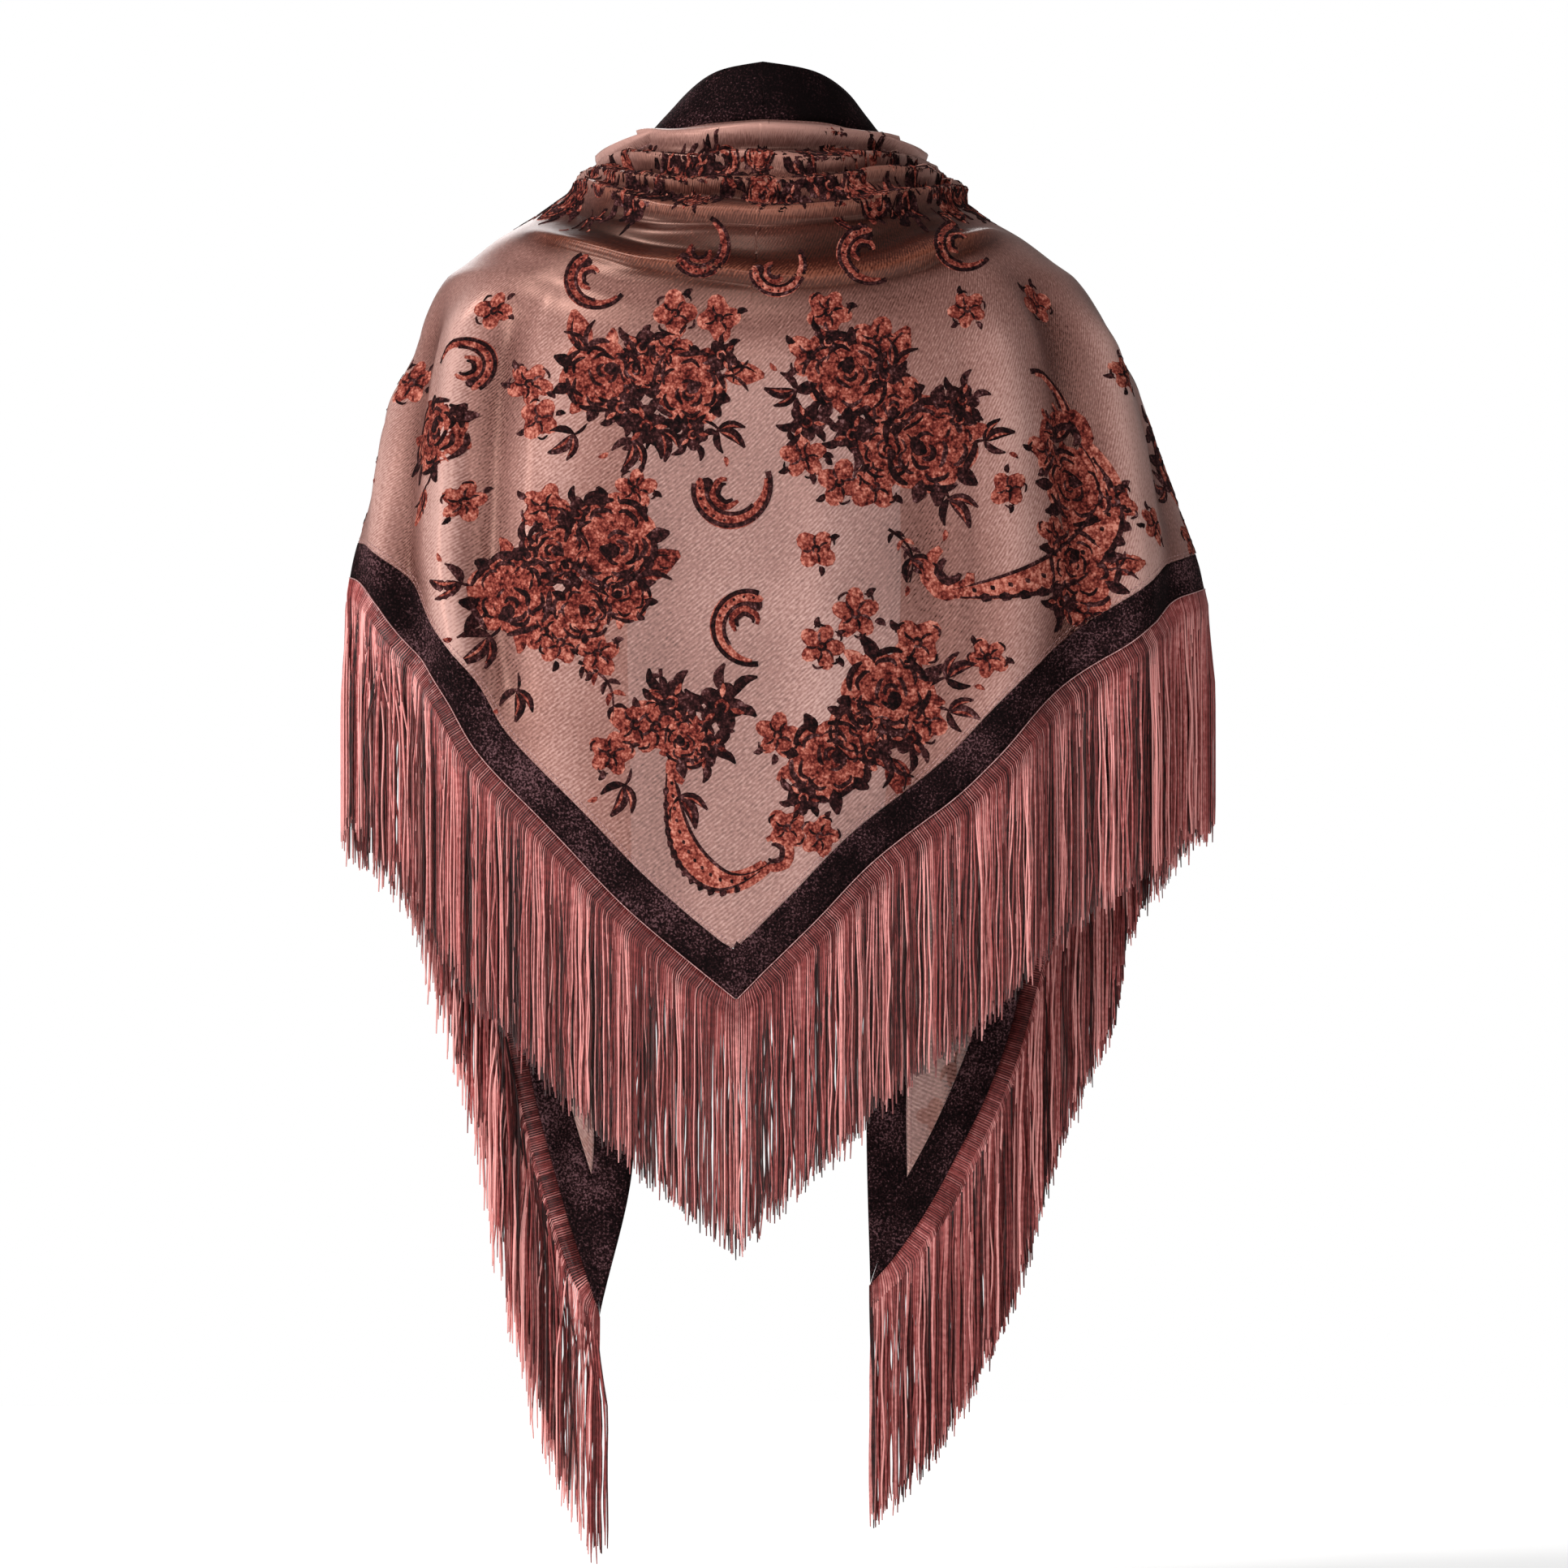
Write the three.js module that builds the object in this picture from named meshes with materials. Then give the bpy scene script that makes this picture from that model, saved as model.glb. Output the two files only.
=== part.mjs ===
// Triangle shawl as it is worn: one light triangle of cloth laid round the shoulders. Its long edge
// stands up round the neck, its broad corner hangs down the back and an end hangs down each side of
// the front. A dark border frames it, and a knitted header below the hem carries a long fringe.
// Millimetres, +Z up. The back faces -Y. The origin is between the shoulders, at the neck's base.
import * as THREE from "three";

// Borders: the long edge's is widest at the nape and narrows towards the hanging ends
const NAPE_BORDER = 44;
const END_BORDER = 30;
const BORDER_TAPER = 400; // along the long edge, from the nape to where its border is narrow
const HEM_BORDER = 25;
const NECK_HALF = 175; // half of the panel's upper edge, from the nape to where an end begins

// Walls, seams and fringe
const CLOTH = 1.2;
const BORDER_CLOTH = 1.4;
const HEADER_CLOTH = 2;
const SEAM = 0.35;
const TIP_SEAM = 1.2; // between two borders at a tip, along the edge, where the mitre is sharp
const HEADER_DEPTH = 14;
const FRINGE_DROP = 168; // below the header
const STRAND = 2.4; // most that a strand is across
const STRAND_PITCH = 6.4; // between strands, measured level
const STEEP_SHARE = 0.3; // of a fall in the hem that counts as level distance when strands are spaced
const ROOT_FALL = 5; // height over which a strand narrows below the header
const UNEVEN = 6; // most by which a strand is longer or shorter
const UNEVEN_STEP = 1.9; // phase between neighbours
const SWAY = 1.4; // most by which a strand's end leans out or in
const SWAY_STEP = 2.3;
const STRAND_FILL = 0.62; // most of the way to the next strand that a strand fills
const CORNER_STRETCH = 1.3; // how much deeper the header is where it turns the broad corner
const ARM_COLUMN = 11; // columns from the broad corner to where the back's fringe ends
const PART_SHARE = 0.03; // of a column, between the back's and the front's fringe
const HALF_ROOT = 0.25; // of the pitch, from a strand's middle to each side of its root

// Faces: columns round the body, and rows by the neck, in mm below the long edge's border
const COLUMNS = 54;
const NECK_ROWS = [0, 5, 10, 15, 21, 27, 33, 38, 43, 49, 55, 60, 65, 71, 77, 82, 88, 95, 108, 120, 130, 145];
const LOWER_ROWS = 10; // from there to the hem
const BORDER_ROWS = 2;
const WALK = 32; // steps along a line from neck to hem when its length is measured
const FINE = 200; // steps along an edge when a border is measured off it
const HALVINGS = 30; // when a share of an edge is sought by its height
const LOOK = 0.025; // share of an edge's length over which its direction is taken

const DEG = Math.PI / 180;

// The body's form: half widths to the left and right and depths to the back and front at each height
const SECTIONS = [
  { z: -840, left: 316, right: 333, back: 112, front: 108 },
  { z: -600, left: 316, right: 333, back: 119, front: 120 },
  { z: -450, left: 316, right: 333, back: 124, front: 128 },
  { z: -340, left: 316, right: 331, back: 129, front: 134 },
  { z: -275, left: 309, right: 321, back: 133, front: 136 },
  { z: -222, left: 294, right: 304, back: 136, front: 134 },
  { z: -150, left: 273, right: 280, back: 137, front: 127 },
  { z: -102, left: 257, right: 261, back: 134, front: 117 },
  { z: -78, left: 249, right: 249, back: 131, front: 110 },
  { z: -54, left: 235, right: 232, back: 126, front: 101 },
  { z: -43, left: 220, right: 217, back: 122, front: 95 },
  { z: -25, left: 197, right: 193, back: 116, front: 85 },
  { z: -9, left: 170, right: 166, back: 108, front: 74 },
  { z: 10, left: 143, right: 140, back: 98, front: 63 },
  { z: 36, left: 103, right: 103, back: 82, front: 54 },
  { z: 65, left: 74, right: 78, back: 69, front: 46 },
  { z: 87, left: 55, right: 62, back: 62, front: 42 },
  { z: 104, left: 45, right: 51, back: 57, front: 40 },
];

// The long edge on each side, from the nape round the neck and down the front to the tip. Turn goes
// round the body: 0 at the middle of the back, 90 at the arm.
const LONG_EDGE = {
  left: [
    { turn: 0, z: 104 },
    { turn: 42, z: 98 },
    { turn: 82, z: 80 },
    { turn: 118, z: 46 },
    { turn: 146, z: 10 },
    { turn: 156, z: -80 },
    { turn: 161, z: -330 },
    { turn: 162, z: -700 },
    { turn: 157, z: -831 },
  ],
  right: [
    { turn: 0, z: 104 },
    { turn: 42, z: 98 },
    { turn: 82, z: 80 },
    { turn: 118, z: 46 },
    { turn: 146, z: 10 },
    { turn: 156, z: -80 },
    { turn: 162, z: -330 },
    { turn: 166.5, z: -680 },
    { turn: 166, z: -807 },
  ],
};

// The hem on each side, from the broad corner at the back round the arm to the end's tip in front
const HEM = {
  left: [
    { turn: 3.5, z: -587 },
    { turn: 18, z: -522 },
    { turn: 30, z: -459 },
    { turn: 42, z: -403 },
    { turn: 49, z: -357 },
    { turn: 58, z: -322 },
    { turn: 64, z: -298 },
    { turn: 78, z: -277 },
    { turn: 92, z: -275 },
    { turn: 110, z: -304 },
    { turn: 123, z: -343 },
    { turn: 131, z: -385 },
    { turn: 136, z: -448 },
    { turn: 142, z: -545 },
    { turn: 146, z: -645 },
    { turn: 154, z: -782 },
    { turn: 157, z: -831 },
  ],
  right: [
    { turn: -3.5, z: -587 },
    { turn: 6.5, z: -530 },
    { turn: 14, z: -486 },
    { turn: 26, z: -435 },
    { turn: 38, z: -374 },
    { turn: 46, z: -346 },
    { turn: 61, z: -310 },
    { turn: 76, z: -289 },
    { turn: 92, z: -285 },
    { turn: 108, z: -304 },
    { turn: 121, z: -333 },
    { turn: 128, z: -372 },
    { turn: 131, z: -442 },
    { turn: 138, z: -500 },
    { turn: 143, z: -556 },
    { turn: 147.6, z: -638 },
    { turn: 156, z: -730 },
    { turn: 163, z: -788 },
    { turn: 166, z: -807 },
  ],
};

// Folds that hang: turn at the upper and lower end, negative to the left, and height above the form
const HANGING = [
  { top: -60, high: -95, end: -45, low: -330, width: 15, rise: 10 },
  { top: -76, high: -100, end: -54, low: -330, width: 15, rise: -9 },
  { top: -48, high: -110, end: -38, low: -350, width: 17, rise: -7 },
  { top: -84, high: -150, end: -62, low: -300, width: 14, rise: 7 },
  { top: -33, high: -140, end: -27, low: -440, width: 20, rise: 4 },
  { top: -16, high: -260, end: -12, low: -560, width: 24, rise: -3 },
  { top: 8, high: -230, end: 6, low: -560, width: 26, rise: 3 },
  { top: 24, high: -180, end: 20, low: -450, width: 22, rise: -4 },
  { top: 42, high: -110, end: 32, low: -400, width: 18, rise: 5 },
  { top: 58, high: -80, end: 41, low: -380, width: 22, rise: -11 },
  { top: 74, high: -110, end: 54, low: -330, width: 18, rise: 9 },
  { top: 86, high: -180, end: 68, low: -310, width: 15, rise: -6 },
  { top: -98, high: -130, end: -92, low: -320, width: 17, rise: -7 },
  { top: -112, high: -120, end: -108, low: -360, width: 17, rise: 7 },
  { top: -126, high: -110, end: -122, low: -420, width: 17, rise: -8 },
  { top: -138, high: -90, end: -132, low: -520, width: 18, rise: 8 },
  { top: -147, high: -110, end: -143, low: -700, width: 16, rise: -7 },
  { top: -155, high: -140, end: -153, low: -760, width: 14, rise: 6 },
  { top: 98, high: -140, end: 94, low: -330, width: 17, rise: 6 },
  { top: 112, high: -120, end: 108, low: -350, width: 17, rise: -7 },
  { top: 125, high: -110, end: 121, low: -400, width: 17, rise: 8 },
  { top: 137, high: -90, end: 133, low: -500, width: 18, rise: -8 },
  { top: 147, high: -110, end: 143, low: -640, width: 17, rise: 7 },
  { top: 155, high: -130, end: 154, low: -760, width: 16, rise: -6 },
];
const FADE = 45; // height over which a hanging fold dies out at each end

// Folds that lie round the neck and shoulders: how far below the long edge's border, half width,
// height above the form, and the turn to the left and right where they die out
const LYING = [
  { below: 2, width: 5, rise: -4, left: 112, right: 112 },
  { below: 14, width: 8, rise: 7, left: 122, right: 124 },
  { below: 27, width: 5, rise: -4.5, left: 118, right: 104 },
  { below: 38, width: 6.5, rise: 5.5, left: 124, right: 126 },
  { below: 49, width: 5, rise: -4.5, left: 98, right: 122 },
  { below: 60, width: 6.5, rise: 5, left: 126, right: 118 },
  { below: 71, width: 5, rise: -4, left: 122, right: 88 },
  { below: 82, width: 6.5, rise: 5, left: 100, right: 124 },
  { below: 93, width: 6, rise: -3, left: 92, right: 96 },
  { below: 110, width: 15, rise: -5, left: 86, right: 90 },
  { below: 131, width: 7, rise: 3.5, left: 70, right: 78 },
  { below: 162, width: 15, rise: -3, left: 62, right: 52 },
];
const FAR_BELOW = 2000; // stands for any place by the hem, where none of these folds reaches
const LYING_FADE = 30; // turn over which a lying fold dies out

// A smooth curve through one column of a table, with no overshoot between its rows
function curve(rows, key, column) {
  const at = rows.map((row) => row[key]);
  const value = rows.map((row) => row[column]);
  const step = at.slice(1).map((a, i) => a - at[i]);
  const slope = step.map((s, i) => (value[i + 1] - value[i]) / s);
  const tangent = value.map((_, i) => {
    if (i === 0) return slope[0];
    if (i === slope.length) return slope[i - 1];
    const [before, after] = [slope[i - 1], slope[i]];
    return before * after <= 0 ? 0 : (2 * before * after) / (before + after);
  });
  return (x) => {
    const t = Math.min(Math.max(x, at[0]), at.at(-1));
    let i = 0;
    while (i < step.length - 1 && t > at[i + 1]) i += 1;
    const s = (t - at[i]) / step[i];
    const rest = 1 - s;
    const ends = value[i] * (1 + 2 * s) * rest * rest + value[i + 1] * s * s * (3 - 2 * s);
    return ends + step[i] * s * rest * (tangent[i] * rest - tangent[i + 1] * s);
  };
}

const body = {};
for (const column of ["left", "right", "back", "front"]) body[column] = curve(SECTIONS, "z", column);

// A point of the smooth form: turn 0 is the middle of the back, 90 the right arm, -90 the left
function formPoint(turn, z) {
  const half = turn < 0 ? body.left(z) : body.right(z);
  const depth = Math.abs(turn) < 90 ? body.back(z) : body.front(z);
  return new THREE.Vector3(half * Math.sin(turn * DEG), -depth * Math.cos(turn * DEG), z);
}

function formNormal(turn, z) {
  const round = formPoint(turn + 1, z).sub(formPoint(turn - 1, z));
  const down = formPoint(turn, z - 1).sub(formPoint(turn, z + 1));
  return down.cross(round).normalize();
}

const smooth = (t) => {
  const s = Math.min(Math.max(t, 0), 1);
  return s * s * (3 - 2 * s);
};

const bell = (distance, width) => Math.exp(-((distance / width) ** 2));

// How far the cloth stands off the smooth form in its folds
function foldHeight({ turn, z, below }) {
  let height = 0;
  const span = Math.abs(turn) < 90 ? body.back(z) : body.front(z);
  const half = turn < 0 ? body.left(z) : body.right(z);
  const radius = Math.hypot(half * Math.cos(turn * DEG), span * Math.sin(turn * DEG));
  for (const fold of HANGING) {
    const share = Math.min(Math.max((fold.high - z) / (fold.high - fold.low), 0), 1);
    const line = fold.top + (fold.end - fold.top) * share;
    const upper = smooth((fold.high + FADE - z) / FADE);
    const lower = smooth((z - fold.low + FADE) / FADE);
    height += fold.rise * upper * lower * bell((turn - line) * DEG * radius, fold.width);
  }
  for (const fold of LYING) {
    const reach = turn < 0 ? fold.left : fold.right;
    const fade = smooth((reach - Math.abs(turn)) / LYING_FADE);
    height += fold.rise * fade * bell(below - fold.below, fold.width);
  }
  return height;
}

// A place on the cloth is its turn, its height and how far below the long edge's border it lies
function clothPoint(place) {
  const { turn, z } = place;
  return formPoint(turn, z).addScaledVector(formNormal(turn, z), foldHeight(place));
}

// A line of places, asked for by its share of its whole length on the smooth form
function lineOf(places) {
  const run = [0];
  for (let i = 1; i < places.length; i += 1) {
    const [a, b] = [places[i - 1], places[i]];
    run.push(run[i - 1] + formPoint(a.turn, a.z).distanceTo(formPoint(b.turn, b.z)));
  }
  const length = run.at(-1);
  const rows = places.map((place, i) => ({ ...place, run: run[i] }));
  const turn = curve(rows, "run", "turn");
  const z = curve(rows, "run", "z");
  return { length, at: (share) => ({ turn: turn(share * length), z: z(share * length) }) };
}

// A place moved off a line: across its direction at that share, to its left where it is positive
function beside(line, share, distance) {
  const place = line.at(share);
  const from = line.at(Math.max(share - LOOK, 0));
  const to = line.at(Math.min(share + LOOK, 1));
  const round = formPoint(place.turn + 1, place.z).distanceTo(formPoint(place.turn - 1, place.z)) / 2;
  const rise = formPoint(place.turn, place.z + 1).distanceTo(formPoint(place.turn, place.z - 1)) / 2;
  const across = (to.turn - from.turn) * round;
  const up = (to.z - from.z) * rise;
  const step = distance / Math.hypot(across, up);
  return { turn: place.turn - (up * step) / round, z: place.z + (across * step) / rise };
}

const borderWidth = (run) => END_BORDER + (NAPE_BORDER - END_BORDER) * smooth(1 - run / BORDER_TAPER);

// One side of the shawl: its outer edges, and the panel's edges a border's width inside them
function makeSide(name, sign) {
  const turned = (row) => ({ turn: sign * row.turn, z: row.z });
  const outerLong = lineOf(LONG_EDGE[name].map(turned));
  const outerHem = lineOf(HEM[name].map(turned));
  const shares = Array.from({ length: FINE + 1 }, (_, i) => i / FINE);
  const long = shares.map((share) => {
    const width = borderWidth(share * outerLong.length);
    return beside(outerLong, share, -sign * width);
  });
  long[0].turn = 0;
  let foot = shares.map((share) => beside(outerHem, share, sign * HEM_BORDER));
  const centre = outerHem.at(0).turn;
  const first = foot.findIndex((place) => sign * (place.turn - centre) > 0);
  foot = [{ turn: centre, z: foot[first].z }, ...foot.slice(first)];
  // The two inner edges cross near the tip: that is the panel's corner
  let nearest = { gap: Infinity };
  long.forEach((a, i) => {
    foot.forEach((b, j) => {
      const gap = Math.hypot(((a.turn - b.turn) * DEG * body[name](a.z)) / 2, a.z - b.z);
      if (gap < nearest.gap) nearest = { gap, i, j };
    });
  });
  const corner = foot[nearest.j];
  const innerLong = lineOf([...long.slice(0, nearest.i), corner]);
  const innerHem = lineOf([...foot.slice(0, nearest.j), corner]);
  const neckShare = NECK_HALF / innerLong.length;
  const falling = shares.map((share) => innerLong.at(neckShare + (1 - neckShare) * share));
  const turnAtHeight = curve([...falling].reverse(), "z", "turn");
  return { sign, outerLong, outerHem, innerLong, innerHem, neckShare, turnAtHeight };
}

const sides = { left: makeSide("left", -1), right: makeSide("right", 1) };
const sideOf = (around) => (around < 0 ? sides.left : sides.right);

// A place on the panel's line from neck to hem that lies `around` (-1 to 1), t of the way down
function lineAt(around, t) {
  const side = sideOf(around);
  const share = Math.abs(around);
  const top = side.innerLong.at(share * side.neckShare);
  const foot = side.innerHem.at(share);
  const corner = side.innerLong.at(side.neckShare);
  const tip = side.innerHem.at(1);
  const swing = 1 - (1 - t) ** 3;
  const edge = side.turnAtHeight(corner.z + (tip.z - corner.z) * t);
  const offEdge = edge - corner.turn - (tip.turn - corner.turn) * swing;
  const turn = top.turn + (foot.turn - top.turn) * swing + offEdge * share ** 4;
  return { turn, z: top.z + (foot.z - top.z) * t };
}

// The panel's places down one line from the border of the long edge to that of the hem
function panelLine(around) {
  const steps = Array.from({ length: WALK + 1 }, (_, i) => lineAt(around, i / WALK));
  const run = [0];
  for (let i = 1; i <= WALK; i += 1) {
    const [a, b] = [steps[i - 1], steps[i]];
    run.push(run[i - 1] + formPoint(a.turn, a.z).distanceTo(formPoint(b.turn, b.z)));
  }
  const top = NECK_ROWS.at(-1);
  const rest = run.at(-1) - top;
  const lower = Array.from({ length: LOWER_ROWS }, (_, i) => top + (rest * (i + 1)) / LOWER_ROWS);
  return [...NECK_ROWS, ...lower].map((below) => {
    let i = 0;
    while (i < WALK - 1 && run[i + 1] < below) i += 1;
    const t = (i + (below - run[i]) / (run[i + 1] - run[i])) / WALK;
    return { ...lineAt(around, t), below };
  });
}

// A closed body from its vertices and its faces of three or four vertex numbers
function closedBody(vertices, faces) {
  const index = [];
  for (const [a, b, c, d] of faces) {
    index.push(a, b, c);
    if (d !== undefined) index.push(a, c, d);
  }
  const places = vertices.flatMap((v) => [v.x, v.y, v.z]);
  const geometry = new THREE.BufferGeometry();
  geometry.setAttribute("position", new THREE.Float32BufferAttribute(places, 3));
  geometry.setIndex(index);
  geometry.computeVertexNormals();
  return geometry;
}

// The faces of a wall whose outer and inner vertices lie on one grid, the inner ones `back` later.
// Four corners are cut along the diagonal that suits their side of the cloth.
function wallFaces(rows, columns, back, mirrored, openBelow) {
  const at = (row, column) => row * columns + column;
  const faces = [];
  for (let r = 0; r < rows - 1; r += 1) {
    for (let c = 0; c < columns - 1; c += 1) {
      const corners = [at(r, c), at(r + 1, c), at(r + 1, c + 1), at(r, c + 1)];
      if (mirrored(r, c)) corners.push(corners.shift());
      const [first, second, third, fourth] = corners;
      faces.push(corners);
      faces.push([first + back, fourth + back, third + back, second + back]);
    }
  }
  const low = rows - 1;
  const end = columns - 1;
  for (let c = 0; c < end; c += 1) {
    faces.push([at(0, c), at(0, c + 1), at(0, c + 1) + back, at(0, c) + back]);
    if (!openBelow(c)) faces.push([at(low, c + 1), at(low, c), at(low, c) + back, at(low, c + 1) + back]);
  }
  for (let r = 0; r < low; r += 1) {
    faces.push([at(r + 1, 0), at(r, 0), at(r, 0) + back, at(r + 1, 0) + back]);
    faces.push([at(r, end), at(r + 1, end), at(r + 1, end) + back, at(r, end) + back]);
  }
  return faces;
}

// The points of a grid of places, and the cloth's outward direction at each, from its neighbours.
// Round its rim it is the smooth form's, so that two pieces face each other squarely at a seam.
function draped(grid) {
  const points = grid.map((row) => row.map(clothPoint));
  const normals = points.map((row, r) =>
    row.map((_, c) => {
      const above = points[r - 1];
      const below = points[r + 1];
      if (above && below && row[c - 1] && row[c + 1]) {
        return below[c].clone().sub(above[c]).cross(row[c + 1].clone().sub(row[c - 1])).normalize();
      }
      return formNormal(grid[r][c].turn, grid[r][c].z);
    }),
  );
  return { points, normals };
}

// A wall of cloth on places, grid[row][column], row 0 nearest the neck
function clothWall(grid, thickness) {
  const { points, normals } = draped(grid);
  const outward = normals.flat();
  const vertices = [0.5, -0.5].flatMap((side) =>
    points.flat().map((point, i) => point.clone().addScaledVector(outward[i], side * thickness)),
  );
  const mirrored = (r, c) => grid[r][c].turn + grid[r][c + 1].turn > 0;
  const faces = wallFaces(grid.length, grid[0].length, outward.length, mirrored, () => false);
  return closedBody(vertices, faces);
}

// Shares of the way round at which the cloth has its columns
const COLUMN_SHARES = Array.from({ length: COLUMNS + 1 }, (_, i) => (2 * i) / COLUMNS - 1);
const sideShares = (side) => COLUMN_SHARES.filter((share) => share * side.sign >= 0);

function panel() {
  const lines = COLUMN_SHARES.map(panelLine);
  return clothWall(lines[0].map((_, row) => lines.map((line) => line[row])), CLOTH);
}

// Rows of places from one edge to another
function strip(first, last) {
  return Array.from({ length: BORDER_ROWS + 1 }, (_, row) =>
    first.map((place, i) => {
      const mix = (key) => place[key] + ((last[i][key] - place[key]) * row) / BORDER_ROWS;
      return { turn: mix("turn"), z: mix("z"), below: mix("below") };
    }),
  );
}

// A share of an outer edge that faces a share of the inner one. They run level but for their last
// part, where the outer one goes on to the tip.
const facing = (share, inner, outer) => {
  const level = inner.length / outer.length;
  return level * share + (1 - level) * share ** 5;
};

// The share of the panel's long edge that lies at a height, below the neck
function shareAtHeight(side, z) {
  let [low, high] = [side.neckShare, 1];
  for (let i = 0; i < HALVINGS; i += 1) {
    const middle = (low + high) / 2;
    if (side.innerLong.at(middle).z > z) low = middle;
    else high = middle;
  }
  return low;
}

// The two edges of the long border on one side, from the nape to the tip
function longBorderSide(side) {
  const neck = sideShares(side).map((share) => Math.abs(share) * side.neckShare);
  const front = panelLine(side.sign).slice(1).map((place) => shareAtHeight(side, place.z));
  const shares = [...neck.sort((a, b) => a - b), ...front];
  const inner = shares.map((share) => ({ ...beside(side.innerLong, share, side.sign * SEAM), below: 0 }));
  inner[0].turn = 0;
  const tip = 1 - TIP_SEAM / side.outerLong.length;
  const outer = shares.map((share) => {
    const place = side.outerLong.at(tip * facing(share, side.innerLong, side.outerLong));
    return { ...place, below: -borderWidth(share * side.innerLong.length) };
  });
  return { inner, outer };
}

// A place a distance from one place towards another
function towards(from, to, distance) {
  const share = distance / formPoint(from.turn, from.z).distanceTo(formPoint(to.turn, to.z));
  const mix = (key) => from[key] + (to[key] - from[key]) * share;
  return { turn: mix("turn"), z: mix("z"), below: mix("below") };
}

// The long border's stretch round the nape, between the two shoulders
function napeBorder() {
  const [left, right] = [longBorderSide(sides.left), longBorderSide(sides.right)];
  const columns = sideShares(sides.right).length;
  const join = (edge) => [...left[edge].slice(1, columns).reverse(), ...right[edge].slice(0, columns)];
  return clothWall(strip(join("outer"), join("inner")), BORDER_CLOTH);
}

// The long border's stretch down one side of the front, from a seam past the nape's to the tip
function frontBorder(side) {
  const edges = longBorderSide(side);
  const first = sideShares(side).length - 1;
  const cut = (edge) => {
    const [start, next, ...rest] = edges[edge].slice(first);
    const places = [towards(start, next, SEAM), next, ...rest];
    return side.sign < 0 ? places.reverse() : places;
  };
  return clothWall(strip(cut("outer"), cut("inner")), BORDER_CLOTH);
}

// A place half a seam off the middle of the back, on one side
function beforeMiddle(side, { turn, z }) {
  return { turn: turn + (side.sign * SEAM) / 2 / (DEG * body.right(z)), z };
}

// The border of one side's hem as rows of places, mitred at the broad corner and at the tip
function hemBorderGrid(side) {
  const shares = sideShares(side).map((share) => Math.abs(share));
  const inner = shares.map((share) => {
    const place = side.innerHem.at(share);
    if (share > 0) return { ...beside(side.innerHem, share, -side.sign * SEAM), below: FAR_BELOW };
    return { ...beforeMiddle(side, { turn: place.turn, z: place.z - SEAM * 1.5 }), below: FAR_BELOW };
  });
  const outer = shares.map((share) => {
    const place = side.outerHem.at(facing(share, side.innerHem, side.outerHem));
    return { ...(share > 0 ? place : beforeMiddle(side, place)), below: FAR_BELOW };
  });
  return strip(inner, outer);
}

// The draped hem as a line of stations: place, outward direction of the cloth and way off the hem
function hemLine(side) {
  const { points, normals } = draped(hemBorderGrid(side));
  const edge = points.at(-1);
  const last = edge.length - 1;
  return sideShares(side).map((share, i) => {
    const along = edge[Math.min(i + 1, last)].clone().sub(edge[Math.max(i - 1, 0)]).normalize();
    const outward = normals.at(-1)[i];
    const off = along.clone().cross(outward).normalize();
    if (share === 0) off.set(0, 0, -CORNER_STRETCH);
    return { share: Math.abs(share), place: edge[i], along, outward, off };
  });
}

// A station between two others
function midStation(a, b, t) {
  const mix = (key) => a[key].clone().lerp(b[key], t);
  return { place: mix("place"), along: mix("along"), outward: mix("outward"), off: mix("off") };
}

// Stations along one stretch of hem, one at each side of every root, so that every second gap
// between them holds a strand
function fringeStations(line) {
  const run = [0];
  for (let i = 1; i < line.length; i += 1) {
    const step = line[i].place.clone().sub(line[i - 1].place);
    run.push(run.at(-1) + Math.hypot(step.x, step.y, STEEP_SHARE * step.z));
  }
  const count = Math.round(run.at(-1) / STRAND_PITCH);
  const pitch = run.at(-1) / count;
  const marks = [0];
  for (let i = 0; i < count; i += 1) marks.push((i + HALF_ROOT) * pitch, (i + 1 - HALF_ROOT) * pitch);
  marks.push(run.at(-1));
  return marks.map((mark) => {
    let i = 0;
    while (i < line.length - 2 && run[i + 1] < mark) i += 1;
    return midStation(line[i], line[i + 1], (mark - run[i]) / (run[i + 1] - run[i]));
  });
}

const level = (v) => new THREE.Vector3(v.x, v.y, 0).normalize();

// One stretch of fringe: a header that hangs a seam below the hem, and the strands that hang off it.
// The strands stand apart, and only their roots are fused into the header.
function fringe(line) {
  const stations = fringeStations(line);
  const columns = stations.length;
  const header = [SEAM, HEADER_DEPTH].map((depth) =>
    stations.map((s) => ({ ...s, place: s.place.clone().addScaledVector(s.off, depth) })),
  );
  const vertices = [0.5, -0.5].flatMap((side) =>
    header.flat().map((s) => s.place.clone().addScaledVector(s.outward, side * HEADER_CLOTH)),
  );
  const back = 2 * columns;
  const holdsStrand = (column) => column % 2 === 1;
  const faces = wallFaces(2, columns, back, () => false, holdsStrand);
  for (let c = 1; c < columns - 1; c += 2) {
    const root = [columns + c, columns + c + 1, columns + c + 1 + back, columns + c + back];
    hangStrand(vertices, faces, root, header[1], c);
  }
  return closedBody(vertices, faces);
}

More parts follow.
